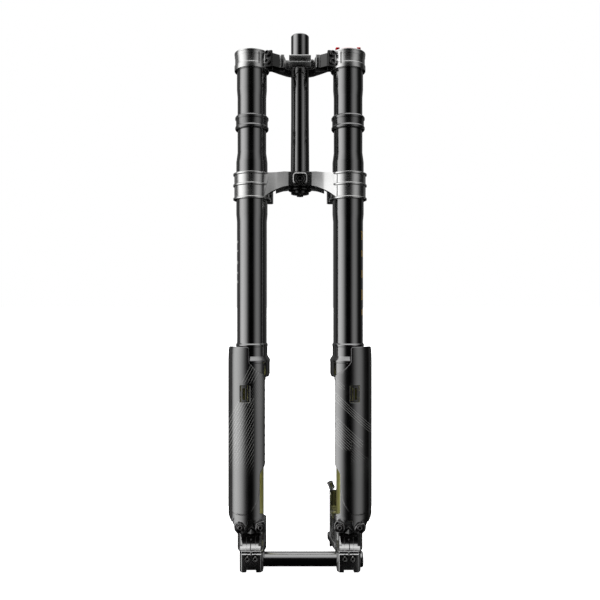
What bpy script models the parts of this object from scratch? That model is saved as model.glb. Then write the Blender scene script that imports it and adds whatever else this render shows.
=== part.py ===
"""An upside-down dual-crown suspension fork with 200 mm of travel.

The origin is the crown race seat on the steering axis, +Z runs up the steerer and -Y is the front.
Left and right are as seen from the front, so the left leg is at -X. Sizes are in millimetres; the
helpers at the top turn them into metres.
"""

import math

import bmesh
import bpy
from mathutils import Matrix, Vector

MM = 0.001
GAP = 0.3  # between pieces that touch on the real fork

# Driving dimensions.
LEG_SPACING = 150.0
CROWN_OFFSET = 26.0  # from the steering axis forward to the legs
AXLE_LEAD = 37.0  # from the leg axis forward to the axle
AXLE_Z = -588.5
STANCHION_RADIUS = 18.5
STANCHION_BORE = 16.3
TUBE_BORE = 20.6
STEERER_RADIUS = 14.3
STEERER_TOP = 222.7
AXLE_RADIUS = 10.5

# Heights, with zero at the crown race seat.
TUBE_TOP = 183.0
TUBE_BOTTOM = -318.7
SEAL_POCKET_TOP = -297.0
STANCHION_TOP = -80.0
STANCHION_BOTTOM = -583.7
GUARD_TOP = -271.0
CARTRIDGE_TOP = 150.0
CARTRIDGE_BOTTOM = -345.0
PISTON_Z = -294.0

# Clamp zones of the outer tube.
TUBE_TOP_RADIUS = 23.3
TUBE_NECK_RADIUS = 22.3
TUBE_CROWN_RADIUS = 24.3
TUBE_LOWER_RADIUS = 23.25
SEAL_HEAD_RADIUS = 28.2

LEG_X = LEG_SPACING / 2
LEG_Y = -CROWN_OFFSET
SIDES = {"left": -1, "right": 1}
SEGMENTS = 24
SMALL_SEGMENTS = 12

FINISHES = {  # colour, roughness, metallic
    "gloss_black": ((0.012, 0.012, 0.013), 0.18, 0.0),
    "satin_silver": ((0.62, 0.62, 0.61), 0.33, 1.0),
    "dark_metal": ((0.10, 0.10, 0.10), 0.38, 1.0),
    "black_steel": ((0.03, 0.03, 0.03), 0.35, 1.0),
    "bare_steel": ((0.55, 0.55, 0.55), 0.25, 1.0),
    "hard_gold": ((0.42, 0.40, 0.17), 0.25, 1.0),
    "black_plastic": ((0.03, 0.03, 0.03), 0.42, 0.0),
    "black_rubber": ((0.02, 0.02, 0.02), 0.60, 0.0),
    "bronze": ((0.45, 0.28, 0.12), 0.40, 1.0),
    "red_anodised": ((0.60, 0.02, 0.03), 0.30, 1.0),
}


def clear_scene():
    for obj in list(bpy.data.objects):
        bpy.data.objects.remove(obj)


def finish_material(name, finish):
    colour, roughness, metallic = FINISHES[finish]
    material = bpy.data.materials.new(name)
    material.use_nodes = True
    shader = material.node_tree.nodes["Principled BSDF"]
    shader.inputs["Base Color"].default_value = (*colour, 1)
    shader.inputs["Roughness"].default_value = roughness
    shader.inputs["Metallic"].default_value = metallic
    return material


def add_object(name, mesh_data, finish, place):
    """Turns a bmesh in millimetres into an object at a place in millimetres; no finish makes a helper."""
    bmesh.ops.recalc_face_normals(mesh_data, faces=mesh_data.faces)
    bmesh.ops.scale(mesh_data, vec=(MM, MM, MM), verts=mesh_data.verts)
    mesh = bpy.data.meshes.new(name)
    mesh_data.to_mesh(mesh)
    mesh_data.free()
    mesh.shade_smooth()
    mesh.set_sharp_from_angle(angle=math.radians(35))
    obj = bpy.data.objects.new(name, mesh)
    obj.location = Vector(place) * MM
    bpy.context.scene.collection.objects.link(obj)
    if finish:
        mesh.materials.append(finish_material(name, finish))
    else:
        obj.hide_render = True
        obj.display_type = "WIRE"
    return obj


def turned(name, profile, finish=None, place=(0, 0, 0), axis="Z", segments=SEGMENTS, closed=False):
    """A profile of (radius, height) spun about an axis. A closed profile makes a ring or a tube."""
    mesh_data = bmesh.new()
    rings = []
    for radius, height in profile:
        if radius == 0:
            rings.append([mesh_data.verts.new((0, 0, height))])
            continue
        angles = [2 * math.pi * step / segments for step in range(segments)]
        rings.append(
            [mesh_data.verts.new((radius * math.cos(a), radius * math.sin(a), height)) for a in angles]
        )
    pairs = list(zip(rings, rings[1:]))
    if closed:
        pairs.append((rings[-1], rings[0]))
    for upper, lower in pairs:
        for step in range(segments):
            after = (step + 1) % segments
            if len(upper) == 1:
                corners = [upper[0], lower[step], lower[after]]
            elif len(lower) == 1:
                corners = [upper[step], lower[0], upper[after]]
            else:
                corners = [upper[step], lower[step], lower[after], upper[after]]
            mesh_data.faces.new(corners)
    if not closed:
        for ring in (rings[0], rings[-1]):
            if len(ring) > 1:
                mesh_data.faces.new(ring)
    if axis != "Z":
        about = {"X": "Y", "Y": "X"}[axis]
        bmesh.ops.transform(mesh_data, matrix=Matrix.Rotation(math.pi / 2, 4, about), verts=mesh_data.verts)
    return add_object(name, mesh_data, finish, place)


def prism(name, outline, low, high, finish=None, place=(0, 0, 0), plane="XY"):
    """A flat outline drawn in a plane and pushed from low to high along the third axis."""
    lift = {
        "XY": lambda a, b, c: (a, b, c),
        "XZ": lambda a, b, c: (a, c, b),
        "YZ": lambda a, b, c: (c, a, b),
    }[plane]
    mesh_data = bmesh.new()
    floor = [mesh_data.verts.new(lift(a, b, low)) for a, b in outline]
    roof = [mesh_data.verts.new(lift(a, b, high)) for a, b in outline]
    mesh_data.faces.new(floor)
    mesh_data.faces.new(roof[::-1])
    for index in range(len(outline)):
        after = (index + 1) % len(outline)
        mesh_data.faces.new([floor[index], floor[after], roof[after], roof[index]])
    return add_object(name, mesh_data, finish, place)


def box(name, low, high, place=(0, 0, 0)):
    outline = [(low[0], low[1]), (high[0], low[1]), (high[0], high[1]), (low[0], high[1])]
    return prism(name, outline, low[2], high[2], place=place)


def apply_boolean(target, other, operation):
    other.hide_render = True
    other.display_type = "WIRE"
    modifier = target.modifiers.new(other.name, "BOOLEAN")
    modifier.operation = operation
    modifier.object = other


def cut(target, *cutters):
    for cutter in cutters:
        apply_boolean(target, cutter, "DIFFERENCE")


def join(target, *others):
    for other in others:
        apply_boolean(target, other, "UNION")


def use_manifold_solver(target):
    """For the crowns, where the exact solver leaves open edges around the clamp slits."""
    for modifier in target.modifiers:
        modifier.solver = "MANIFOLD"


def arc(centre, radius, start, end, steps):
    """Points on an arc, with its angles in degrees anticlockwise from the first axis."""
    angles = [math.radians(start + (end - start) * step / steps) for step in range(steps + 1)]
    return [(centre[0] + radius * math.cos(a), centre[1] + radius * math.sin(a)) for a in angles]


def mirrored(points):
    """The outline followed by its mirror image, for an outline drawn from the middle out and back."""
    return points + [(-a, b) for a, b in reversed(points) if a != 0]


def sided(points, side):
    """Leg outlines are drawn with the first number pointing away from the wheel."""
    return [(side * a, b) for a, b in points]


def leg_place(side, height=0.0):
    return (side * LEG_X, LEG_Y, height)


# Crowns and steerer ---------------------------------------------------------------------------

LOWER_COLLAR_RADIUS = 27.4
BEAD_RADIUS = 29.1
LOWER_COLLAR_TOP = -3.5
LOWER_COLLAR_BOTTOM = -46.0
UPPER_COLLAR_RADIUS = 26.1
UPPER_BEAD_RADIUS = 27.1
UPPER_COLLAR_BOTTOM = 155.0
CROWN_BOTTOM = -21.3
STEERER_SEAT_RADIUS = 15.0
STEERER_BORE = 11.5
CROWN_BOSS_FRONT = -33.5
CROWN_SCREW_SEAT = -26.3
PINCH_X = 49.0
PINCH_TURN = 18.0  # the upper pinch screws face outward from straight ahead by this many degrees
EAR_FACE = (49.3, -44.9)  # the middle of the face that they sit on


def make_steerer():
    outer = [
        (STEERER_RADIUS - 1.6, STEERER_TOP),
        (STEERER_RADIUS, STEERER_TOP - 1.6),
        (STEERER_RADIUS, 90),
        (STEERER_SEAT_RADIUS, 12),
        (STEERER_SEAT_RADIUS, CROWN_BOTTOM),
    ]
    inner = [(STEERER_BORE, CROWN_BOTTOM), (STEERER_BORE, STEERER_TOP)]
    turned("steerer_tube", outer + inner, "gloss_black", closed=True)
    flange = [(0, -22), (16.5, -22), (18.4, -23), (18.4, -25.5), (14.4, -27), (14.4, -31)]
    flange += [(5.6, -31), (5.6, -34.5), (0, -34.5)]
    turned("steerer_bottom_plug", flange, "black_steel", segments=16)


def lower_collar(side):
    radius = LOWER_COLLAR_RADIUS
    bore = TUBE_CROWN_RADIUS + GAP
    profile = [(bore, LOWER_COLLAR_TOP)]
    for middle in (-5.5, -23, -43):
        profile += [(radius, middle + 2), (BEAD_RADIUS, middle + 0.6)]
        profile += [(BEAD_RADIUS, middle - 0.6), (radius, middle - 2)]
    profile += [(radius, LOWER_COLLAR_BOTTOM), (bore, LOWER_COLLAR_BOTTOM)]
    return turned(f"lower_collar_{side}", profile, place=leg_place(side), closed=True)


def make_lower_crown():
    elevation = mirrored(
        [(0, 0), (24, 0), (46, LOWER_COLLAR_TOP), (56, LOWER_COLLAR_TOP - 2), (56, -43), (52.4, -39.2)]
        + [(45, -33.3), (37.5, -28.7), (27, -24), (16.4, CROWN_BOTTOM), (0, CROWN_BOTTOM)]
    )
    crown = prism("lower_crown", elevation, -60, 30, "satin_silver", plane="XZ")
    plan = mirrored(
        [(0, -29), (18, -28.8), (28, -33), (36, -37.5), (45, -41.6), (56, -45.5)]
        + [(56, -3), (46, -6), (30, 8), (20, 18), (10, 22), (0, 23)]
    )
    apply_boolean(crown, prism("lower_crown_plan", plan, -60, 20), "INTERSECT")
    boss = [(0, -2.2), (6.2, -2.2), (9.7, -3.7), (11.2, -7.2), (11.2, -14.3), (9.7, -17.8)]
    boss = mirrored(boss + [(6.2, -19.3), (0, -19.3)])
    join(crown, prism("crown_boss", boss, CROWN_BOSS_FRONT, -20, plane="XZ"))
    for side in SIDES.values():
        ear = [(42.5, -16), (59, -16), (59, 1), (55, 5), (46, 5), (42.5, 1)]
        ear_block = prism(f"lower_ear_{side}", sided(ear, side), LOWER_COLLAR_BOTTOM, -6)
        collar = lower_collar(side)
        bore = turned(
            f"lower_bore_{side}",
            [(0, 20), (TUBE_CROWN_RADIUS + GAP, 20), (TUBE_CROWN_RADIUS + GAP, -80), (0, -80)],
            place=leg_place(side),
        )
        join(crown, ear_block)
        cut(crown, bore)
        join(crown, collar)
        low_x = min(side * 24, side * 44)
        pocket = box(f"lower_pocket_{side}", (low_x, -25, -60), (low_x + 20, 2, -7))
        slit_x = min(side * 40, side * 56)
        slit = box(f"lower_slit_{side}", (slit_x, -12.5, -60), (slit_x + 16, -11, 10))
        cut(crown, pocket, slit)
        for level in (-14, -36):
            cut(crown, screw_hole(f"lower_pinch_hole_{side}_{-level}", (side * PINCH_X, -4, level), 3.0, 30))
    steerer_bore = [(0, 20), (STEERER_SEAT_RADIUS + GAP, 20), (STEERER_SEAT_RADIUS + GAP, -60), (0, -60)]
    cut(crown, turned("lower_steerer_bore", steerer_bore))
    socket = [(0, -60), (8.2, -60), (8.2, CROWN_SCREW_SEAT + GAP), (0, CROWN_SCREW_SEAT + GAP)]
    cut(crown, turned("crown_socket", [(r, -y) for r, y in socket], place=(0, 0, -11.2), axis="Y"))
    use_manifold_solver(crown)


def screw_hole(name, place, radius, length, segments=8):
    """A plain cylinder along Y, half its length either way."""
    profile = [(0, length / 2), (radius, length / 2), (radius, -length / 2), (0, -length / 2)]
    return turned(name, profile, place=place, axis="Y", segments=segments)


def socket_screw(name, place, head_radius, head_height, shank_radius, shank_length, turn, finish="black_steel"):
    """A cap screw with a hexagon socket. Its seat is at the place and its head points along turned +Z."""
    key = head_radius * 0.5
    profile = [
        (0, head_height * 0.45),
        (key, head_height * 0.45),
        (key, head_height),
        (head_radius - 0.5, head_height),
        (head_radius, head_height - 0.5),
        (head_radius, 0),
        (shank_radius, 0),
        (shank_radius, -shank_length),
        (0, -shank_length),
    ]
    screw = turned(name, profile, finish, place=place, segments=8)
    screw.rotation_euler = turn
    return screw


FACING_FRONT = (math.radians(90), 0, 0)
FACING_REAR = (math.radians(-90), 0, 0)


def make_crown_screws():
    socket_screw("crown_front_screw", (0, CROWN_SCREW_SEAT, -11.2), 7.6, 4.4, 3.0, 0.2, FACING_FRONT)
    for word, side in SIDES.items():
        for place, level in (("upper", -14), ("lower", -36)):
            name = f"lower_crown_screw_{word}_{place}"
            socket_screw(name, (side * PINCH_X, 5 + GAP, level), 4.4, 4.5, 2.6, 14, FACING_REAR)
        for place, level in (("upper", 177.0), ("lower", 164.6)):
            name = f"upper_crown_screw_{word}_{place}"
            turn = (math.radians(90), 0, side * math.radians(PINCH_TURN))
            socket_screw(name, pinch_seat(side, level), 4.4, 4.0, 2.5, 13, turn)
    socket_screw("steerer_pinch_screw", (17 + GAP, -23.5, 172.5), 4.0, 4.0, 2.5, 28, (0, math.radians(90), 0))


def pinch_seat(side, level):
    turn = math.radians(PINCH_TURN)
    return (side * (EAR_FACE[0] + GAP * math.sin(turn)), EAR_FACE[1] - GAP * math.cos(turn), level)


def make_upper_crown():
    plan = mirrored(
        [(0, -21), (16.8, -21), (16.8, -18.8), (22.5, -18.8), (22.8, -24), (24.5, -35), (30, -35)]
        + [(31.5, -33.5), (41.5, -41), (60, -41), (64, -10), (52, -4), (46, -8), (34, 4)]
        + [(22, 15), (12, 20), (0, 21)]
    )
    crown = prism("upper_crown", plan, 163, 177.5, "satin_silver")
    hub = [(0, 181), (19.5, 181), (21.5, 179), (21.5, 165), (20.5, 164), (0, 164)]
    bar = [(-20, 181.3), (-28, 181.3), (-30.6, 179.6), (-31.4, 177.6), (-31.4, 174.2), (-30, 173), (-30, 171.6)]
    bar += [(-31.4, 170.4), (-31.4, 165.2), (-29.4, 162), (-20, 162)]
    join(crown, turned("upper_hub", hub), prism("upper_bar", bar, -17, 17, plane="YZ"))
    for side in SIDES.values():
        across = (6.4 * math.cos(math.radians(PINCH_TURN)), 6.4 * math.sin(math.radians(PINCH_TURN)))
        ear = [(42, -30), (42, -44.5), (EAR_FACE[0] - across[0], EAR_FACE[1] - across[1])]
        ear += [(EAR_FACE[0] + across[0], EAR_FACE[1] + across[1]), (62, -40), (62, -30)]
        ear_block = prism(f"upper_ear_{side}", sided(ear, side), 157.2, 182.4)
        arm = [(24.5, -14), (24.5, -35), (30, -35), (31.5, -33.5), (41.5, -41), (52, -41), (52, -15)]
        join(crown, prism(f"upper_arm_{side}", sided(arm, side), 160, 180))
        collar = [
            (UPPER_BEAD_RADIUS - 1, TUBE_TOP),
            (UPPER_BEAD_RADIUS, TUBE_TOP - 1),
            (UPPER_BEAD_RADIUS, 176),
            (UPPER_COLLAR_RADIUS, 175),
            (UPPER_COLLAR_RADIUS, 164),
            (UPPER_BEAD_RADIUS, 163),
            (UPPER_BEAD_RADIUS, 156),
            (UPPER_BEAD_RADIUS - 1, UPPER_COLLAR_BOTTOM),
        ]
        solid = [(0, TUBE_TOP)] + collar + [(0, UPPER_COLLAR_BOTTOM)]
        join(crown, ear_block, turned(f"upper_collar_{side}", solid, place=leg_place(side)))
        bore = [(0, 240), (TUBE_TOP_RADIUS + GAP, 240), (TUBE_TOP_RADIUS + GAP, 100), (0, 100)]
        slit_x = min(side * 44.3, side * 56)
        slit = box(f"upper_slit_{side}", (slit_x, -36.7, 120), (slit_x + 11.7, -35.3, 220))
        cut(crown, turned(f"upper_bore_{side}", bore, place=leg_place(side)), slit)
        for level in (177.0, 164.6):
            hole = screw_hole(f"upper_pinch_hole_{side}_{int(level)}", pinch_seat(side, level), 2.9, 30)
            hole.rotation_euler = (0, 0, side * math.radians(PINCH_TURN))
            cut(crown, hole)
    steerer_bore = [(0, 240), (STEERER_RADIUS + GAP, 240), (STEERER_RADIUS + GAP, 100), (0, 100)]
    cut(crown, turned("upper_steerer_bore", steerer_bore))
    pinch = [(0, 34), (2.9, 34), (2.9, -14), (0, -14)]
    cut(crown, turned("steerer_pinch_hole", pinch, place=(0, -23.5, 172.5), axis="X", segments=SMALL_SEGMENTS))
    use_manifold_solver(crown)


# Upper legs -----------------------------------------------------------------------------------


def make_upper_leg(word, side):
    place = leg_place(side)
    outer = [
        (TUBE_TOP_RADIUS, TUBE_TOP),
        (TUBE_TOP_RADIUS, 127),
        (TUBE_NECK_RADIUS, 115),
        (TUBE_NECK_RADIUS, 29),
        (TUBE_CROWN_RADIUS, 14),
        (TUBE_CROWN_RADIUS, -66.5),
        (TUBE_LOWER_RADIUS, -78.3),
        (TUBE_LOWER_RADIUS, -267),
        (24.6, -271),
        (24.6, -284),
        (SEAL_HEAD_RADIUS, -295),
        (SEAL_HEAD_RADIUS, -314),
        (26.4, TUBE_BOTTOM),
    ]
    inner = [(24.6, TUBE_BOTTOM), (24.6, SEAL_POCKET_TOP), (TUBE_BORE, SEAL_POCKET_TOP), (TUBE_BORE, TUBE_TOP)]
    turned(f"{word}_outer_tube", outer + inner, "gloss_black", place, closed=True)

    bumper_bore = TUBE_NECK_RADIUS + GAP
    bumper = [(bumper_bore, 85), (24.8, 85), (26, 81.5), (24.8, 78)]
    bumper += [(24.8, 70), (26, 66.5), (25, 63.5), (bumper_bore, 63.5)]
    turned(f"{word}_frame_bumper", bumper, "black_rubber", place, closed=True)

    slide = STANCHION_RADIUS + GAP
    wiper = [(slide, -312), (24.3, -312), (24.3, -318.4), (21.5, -319.5)]
    wiper += [(21.5, -324), (19.6, -326), (slide, -322)]
    turned(f"{word}_dust_wiper", wiper, "black_rubber", place, closed=True)
    seal = [(slide, -299), (24.3, -299), (24.3, -310), (slide, -310)]
    turned(f"{word}_oil_seal", seal, "black_rubber", place, closed=True)
    bushing = [(slide, -255), (TUBE_BORE - GAP, -255), (TUBE_BORE - GAP, -290), (slide, -290)]
    turned(f"{word}_guide_bushing", bushing, "bronze", place, closed=True)

    cap = [(0, 184.6), (22.6, 184.6), (22.6, TUBE_TOP + GAP), (TUBE_BORE - GAP, TUBE_TOP + GAP)]
    cap += [(TUBE_BORE - GAP, 158), (0, 158)]
    turned(f"{word}_top_cap", cap, "black_steel", place)


def make_cartridge(word, side, piston_name, rod_name, body_name, head_name):
    """The pressure tube hangs from the top cap; its rod and piston stand on the leg's foot."""
    place = leg_place(side)
    tube_end = CARTRIDGE_BOTTOM + 14
    tube = [(13.5, CARTRIDGE_TOP), (13.5, tube_end), (12.3, tube_end), (12.3, CARTRIDGE_TOP)]
    turned(body_name, tube, "bare_steel", place, segments=20, closed=True)
    head = [(5.4, -331.3), (13.5, -331.3), (13.5, CARTRIDGE_BOTTOM), (5.4, CARTRIDGE_BOTTOM)]
    turned(head_name, head, "dark_metal", place, segments=20, closed=True)
    piston = [(0, PISTON_Z), (11.7, PISTON_Z), (11.7, PISTON_Z - 12), (0, PISTON_Z - 12)]
    turned(piston_name, piston, "bronze", place, segments=20)
    rod = [(0, PISTON_Z - 12.3), (5, PISTON_Z - 12.3), (5, -595), (0, -595)]
    turned(rod_name, rod, "bare_steel", place, segments=SMALL_SEGMENTS)
    bumper = [(5.3, -566), (12, -566), (13, -572), (13, -583), (5.3, -583)]
    turned(f"{word}_bottom_out_bumper", bumper, "black_rubber", place, segments=SMALL_SEGMENTS, closed=True)


def make_top_fittings():
    air = leg_place(SIDES["left"])
    valve = [(0, 191.5), (4, 191.5), (4.6, 190.5), (4.6, 184.9), (0, 184.9)]
    turned("air_valve_cap", valve, "black_plastic", air, segments=SMALL_SEGMENTS)
    plate = [(0, 186), (20.3, 186), (20.3, 184.9), (0, 184.9)]
    place = leg_place(SIDES["right"])
    dial = turned("compression_dial", plate, "red_anodised", place)
    outline = [(13.4, -4), (19.4, -4.6), (20, 0), (19.4, 4.6), (13.4, 4)]
    join(
        dial,
        prism("dial_ear_outer", outline, 185.4, 193, place=place),
        prism("dial_ear_inner", [(-a, b) for a, b in outline], 185.4, 193, place=place),
    )


# Lower legs -----------------------------------------------------------------------------------

CLAMP_CENTRE = -3.0  # the axle clamp sits this far inboard of the leg
SOCKET_RADIUS = 22.5
SOCKET_TOP = -552.0
SOCKET_FLOOR = -584.0
SOCKET_BOTTOM = -592.0
CLAMP_FRONT = -55.0
CLAMP_TOP = -570.0
CLAMP_BOTTOM = -601.4
AXLE_SCREW_TILT = 52.0
AXLE_SCREW_SPREAD = 5.9


def make_stanchion(word, side):
    place = leg_place(side)
    tube = [
        (STANCHION_RADIUS, STANCHION_TOP),
        (STANCHION_RADIUS, STANCHION_BOTTOM),
        (STANCHION_BORE, STANCHION_BOTTOM),
        (STANCHION_BORE, STANCHION_TOP),
    ]
    turned(f"{word}_stanchion", tube, "hard_gold", place, closed=True)
    slide = STANCHION_RADIUS + GAP
    bushing = [(slide, -92), (TUBE_BORE - GAP, -92), (TUBE_BORE - GAP, -112), (slide, -112)]
    turned(f"{word}_slide_bushing", bushing, "bronze", place, closed=True)


def make_dropout(word, side):
    place = leg_place(side)
    socket = [(0, SOCKET_TOP), (SOCKET_RADIUS, SOCKET_TOP), (SOCKET_RADIUS, -586)]
    socket += [(18, SOCKET_BOTTOM), (0, SOCKET_BOTTOM)]
    dropout = turned(f"{word}_dropout", socket, "dark_metal", place)
    half = 14.2
    edge = 17.5
    clamp_plan = [(CLAMP_CENTRE - edge, -8), (CLAMP_CENTRE - edge, -50), (CLAMP_CENTRE - half, CLAMP_FRONT)]
    clamp_plan += [(CLAMP_CENTRE + half, CLAMP_FRONT), (CLAMP_CENTRE + edge, -50), (CLAMP_CENTRE + edge, -8)]
    clamp = prism(f"{word}_clamp", sided(clamp_plan, side), CLAMP_BOTTOM, CLAMP_TOP, place=place)
    neck_plan = [(-16.4, -5), (-16.4, -41), (-13, -44), (10.6, -44), (14, -41), (14, -5)]
    neck = prism(f"{word}_neck", sided(neck_plan, side), CLAMP_TOP - 2, -553, place=place)
    lug_plan = [(-22, -8), (-22, -19.5), (-17.5, -25.5), (17.5, -25.5), (22, -19.5), (22, -8)]
    lug = prism(f"{word}_guard_lug", sided(lug_plan, side), -556, -535, place=place)
    join(dropout, clamp, neck, lug)
    rear = [(-40, -620), (14, -620), (14, -601), (-12, -592.5), (-40, -592.5)]
    bore = [(0, 0), (STANCHION_RADIUS + GAP, 0), (STANCHION_RADIUS + GAP, SOCKET_FLOOR), (5.3, SOCKET_FLOOR)]
    bore += [(5.3, -640), (0, -640)]
    slot_low = CLAMP_TOP - 3.5
    cut(
        dropout,
        turned(f"{word}_socket_bore", bore, place=place),
        axle_hole(word, side),
        box(f"{word}_clamp_slot", (-40, -60, slot_low), (40, -AXLE_LEAD + 1, slot_low + 1.6), place),
        box(f"{word}_clamp_split", (-40, -AXLE_LEAD - 1, AXLE_Z), (40, -AXLE_LEAD + 1, slot_low + 1.6), place),
        box(f"{word}_foot_arch", foot_arch(side, -60, -620), foot_arch(side, -46, -592.4, 1), place),
        box(f"{word}_rear_relief", (-40, -20, -620), (40, 40, SOCKET_BOTTOM), place),
    )
    for row in (-1, 1):
        seat = axle_screw_seat(side, row)
        hole = [(0, 30), (4.3, 30), (4.3, -GAP), (2.8, -GAP), (2.8, -19), (0, -19)]
        hole = turned(f"{word}_axle_screw_hole_{row}", hole, place=seat, segments=SMALL_SEGMENTS)
        hole.rotation_euler = axle_screw_turn()
        cut(dropout, hole)
        name = f"{word}_axle_screw_{'outer' if row > 0 else 'inner'}"
        socket_screw(name, seat, 4.0, 4.5, 2.5, 18, axle_screw_turn())
    for offset in (-GUARD_SCREW_X, GUARD_SCREW_X):
        centre = (side * LEG_X + offset, LEG_Y - 26, GUARD_SCREW_Z)
        cut(dropout, screw_hole(f"{word}_guard_screw_hole_{int(offset)}", centre, 2.8, 12))
    return dropout


def foot_arch(side, y, z, far=0):
    ends = sorted((side * (CLAMP_CENTRE - 7.2), side * (CLAMP_CENTRE + 7.2)))
    return (ends[far], y, z)


def axle_screw_turn():
    return (math.radians(90 + AXLE_SCREW_TILT), 0, 0)


def axle_screw_seat(side, row):
    tilt = math.radians(AXLE_SCREW_TILT)
    back = 5.0
    y = LEG_Y + CLAMP_FRONT + 1.0 + back * math.cos(tilt)
    z = -583.0 + back * math.sin(tilt)
    return (side * (LEG_X + CLAMP_CENTRE + row * AXLE_SCREW_SPREAD), y, z)


def axle_hole(word, side):
    """The axle slides in through the right dropout and threads into the left one, past a shallow seat."""
    radius = AXLE_RADIUS + GAP
    profile = [(0, 60), (radius, 60)]
    if side < 0:
        profile += [(radius, AXLE_SEAT_X + LEG_X), (AXLE_THREAD_RADIUS + GAP, AXLE_SEAT_X + LEG_X)]
        radius = AXLE_THREAD_RADIUS + GAP
    profile += [(radius, -60), (0, -60)]
    place = (side * LEG_X, LEG_Y - AXLE_LEAD, AXLE_Z)
    return turned(f"{word}_axle_hole", profile, place=place, axis="X", segments=20)


AXLE_THREAD_RADIUS = 9.0
AXLE_SEAT_X = -58.0
AXLE_HEAD_X = LEG_X + CLAMP_CENTRE + 17.5 + GAP


def make_axle():
    profile = [
        (6, AXLE_HEAD_X + 4.5),
        (10.2, AXLE_HEAD_X + 4.5),
        (11.6, AXLE_HEAD_X + 3.2),
        (11.6, AXLE_HEAD_X),
        (AXLE_RADIUS, AXLE_HEAD_X),
        (AXLE_RADIUS, AXLE_SEAT_X + GAP),
        (AXLE_THREAD_RADIUS, AXLE_SEAT_X + GAP),
        (AXLE_THREAD_RADIUS, -LEG_X - 13.5),
        (6, -LEG_X - 13.5),
    ]
    turned("axle", profile, "gloss_black", (0, LEG_Y - AXLE_LEAD, AXLE_Z), axis="X", segments=20, closed=True)


def make_rebound_knob():
    knob = [(0, -595.4), (7, -595.4), (7.6, -596.5), (7.6, -600), (7, -601), (0, -601)]
    turned("rebound_knob", knob, "red_anodised", leg_place(SIDES["right"]), segments=12)


# Guards ---------------------------------------------------------------------------------------

GUARD_SCREW_X = 15.3
GUARD_SCREW_Z = -543.0
GUARD_WALL = 2.2


def guard_radius(angle):
    """The outer radius of the guard; the angle runs from straight ahead towards the outside."""
    if angle < 0:
        return 34.0 + 1.0 * math.sin(math.radians(angle))
    return 34.0 + 2.9 * math.sin(math.radians(min(angle, 90))) ** 2


def guard_band(start, end, outer, inner, steps):
    """A plan outline that follows the guard's wall between two angles."""
    angles = [math.radians(start + (end - start) * step / steps) for step in range(steps + 1)]
    outside = [(math.sin(a), -math.cos(a), guard_radius(math.degrees(a))) for a in angles]
    points = [(x * (r + outer), y * (r + outer)) for x, y, r in outside]
    return points + [(x * (r - inner), y * (r - inner)) for x, y, r in reversed(outside)]


def guard_bracket(word, side, place):
    """The inner layer of the guard's foot, which carries the screws."""
    layer = guard_band(-48, 76, -1.2, GUARD_WALL, 14)
    bracket = prism(f"{word}_guard_bracket", sided(layer, side), -556, -522, place=place)
    front_view = [(34.5, -522), (-14.7, -522), (-21.5, -526), (-25.1, -529.5), (-25.1, -546), (-22, -550.6)]
    front_view += [(-9, -552.5), (-6.5, -533), (4.2, -533), (8, -552.5), (19.6, -552.5), (25, -547.7)]
    front_view += [(27.4, -543.5), (30.5, -538.5), (34.5, -531)]
    shape = prism(f"{word}_bracket_front", sided(front_view, side), -60, 40, place=place, plane="XZ")
    apply_boolean(bracket, shape, "INTERSECT")
    return bracket


def make_guard(word, side):
    place = leg_place(side)
    wall = guard_band(-46, 118, 0, GUARD_WALL, 20)
    guard = prism(f"{word}_guard", sided(wall, side), -556, GUARD_TOP, "black_plastic", place)
    front_view = [(38, GUARD_TOP), (2.1, GUARD_TOP), (2.1, -294.6), (-8, -304.8), (-22.2, -314)]
    front_view += [(-22.2, -451), (-14.7, -463), (-14.7, -524), (-22.5, -528.5), (-7, -532.2)]
    front_view += [(3.9, -532.2), (4.9, -541.7), (27, -531.5), (29.8, -539.5), (38, -530)]
    shape = prism(f"{word}_guard_front", sided(front_view, side), -60, 40, place=place, plane="XZ")
    apply_boolean(guard, shape, "INTERSECT")
    join(guard, guard_bracket(word, side, place))
    outer_pad = [(7, -546), (9.5, -552.3), (19.6, -552.3), (24, -547.7), (25, -541), (21, -536), (9, -541)]
    inner_pad = [(-7, -546), (-9.5, -552.3), (-20.5, -550.5), (-23.5, -546), (-23.5, -538), (-20, -533), (-8.5, -537)]
    for row, pad in enumerate((outer_pad, inner_pad)):
        pad = prism(f"{word}_guard_pad_{row}", sided(pad, side), -33, -28, place=place, plane="XZ")
        join(guard, pad)
    for offset in (-GUARD_SCREW_X, GUARD_SCREW_X):
        centre = (side * LEG_X + offset, LEG_Y - 30, GUARD_SCREW_Z)
        cut(guard, screw_hole(f"{word}_guard_hole_{int(offset)}", centre, 3.0, 30))
        end = "outer" if offset * side > 0 else "inner"
        seat = (side * LEG_X + offset, LEG_Y - 33 - GAP, GUARD_SCREW_Z)
        socket_screw(f"{word}_guard_screw_{end}", seat, 6.2, 3.2, 2.5, 10, FACING_FRONT)
    window = sorted((side * 0.6, side * 15.7))
    cut(guard, box(f"{word}_guard_window", (window[0], -45, -354.7), (window[1], -20, -329.3), place))
    band = guard_band(2.2, 26.2, -0.8, GUARD_WALL + 0.6, 4)
    prism(f"{word}_guard_clip", sided(band, side), -354, -330, "black_plastic", place)


# Brake mount ----------------------------------------------------------------------------------

POST_X = 54.0
POST_RADIUS = 6.0
POST_FACE_Y = 22.0
POST_SPACING = 74.0
UPPER_POST_Z = -516.0
BRACKET_TOP = -508.0
BRACKET_BOTTOM = -598.0
BRACKET_INNER = 47.8


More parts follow.
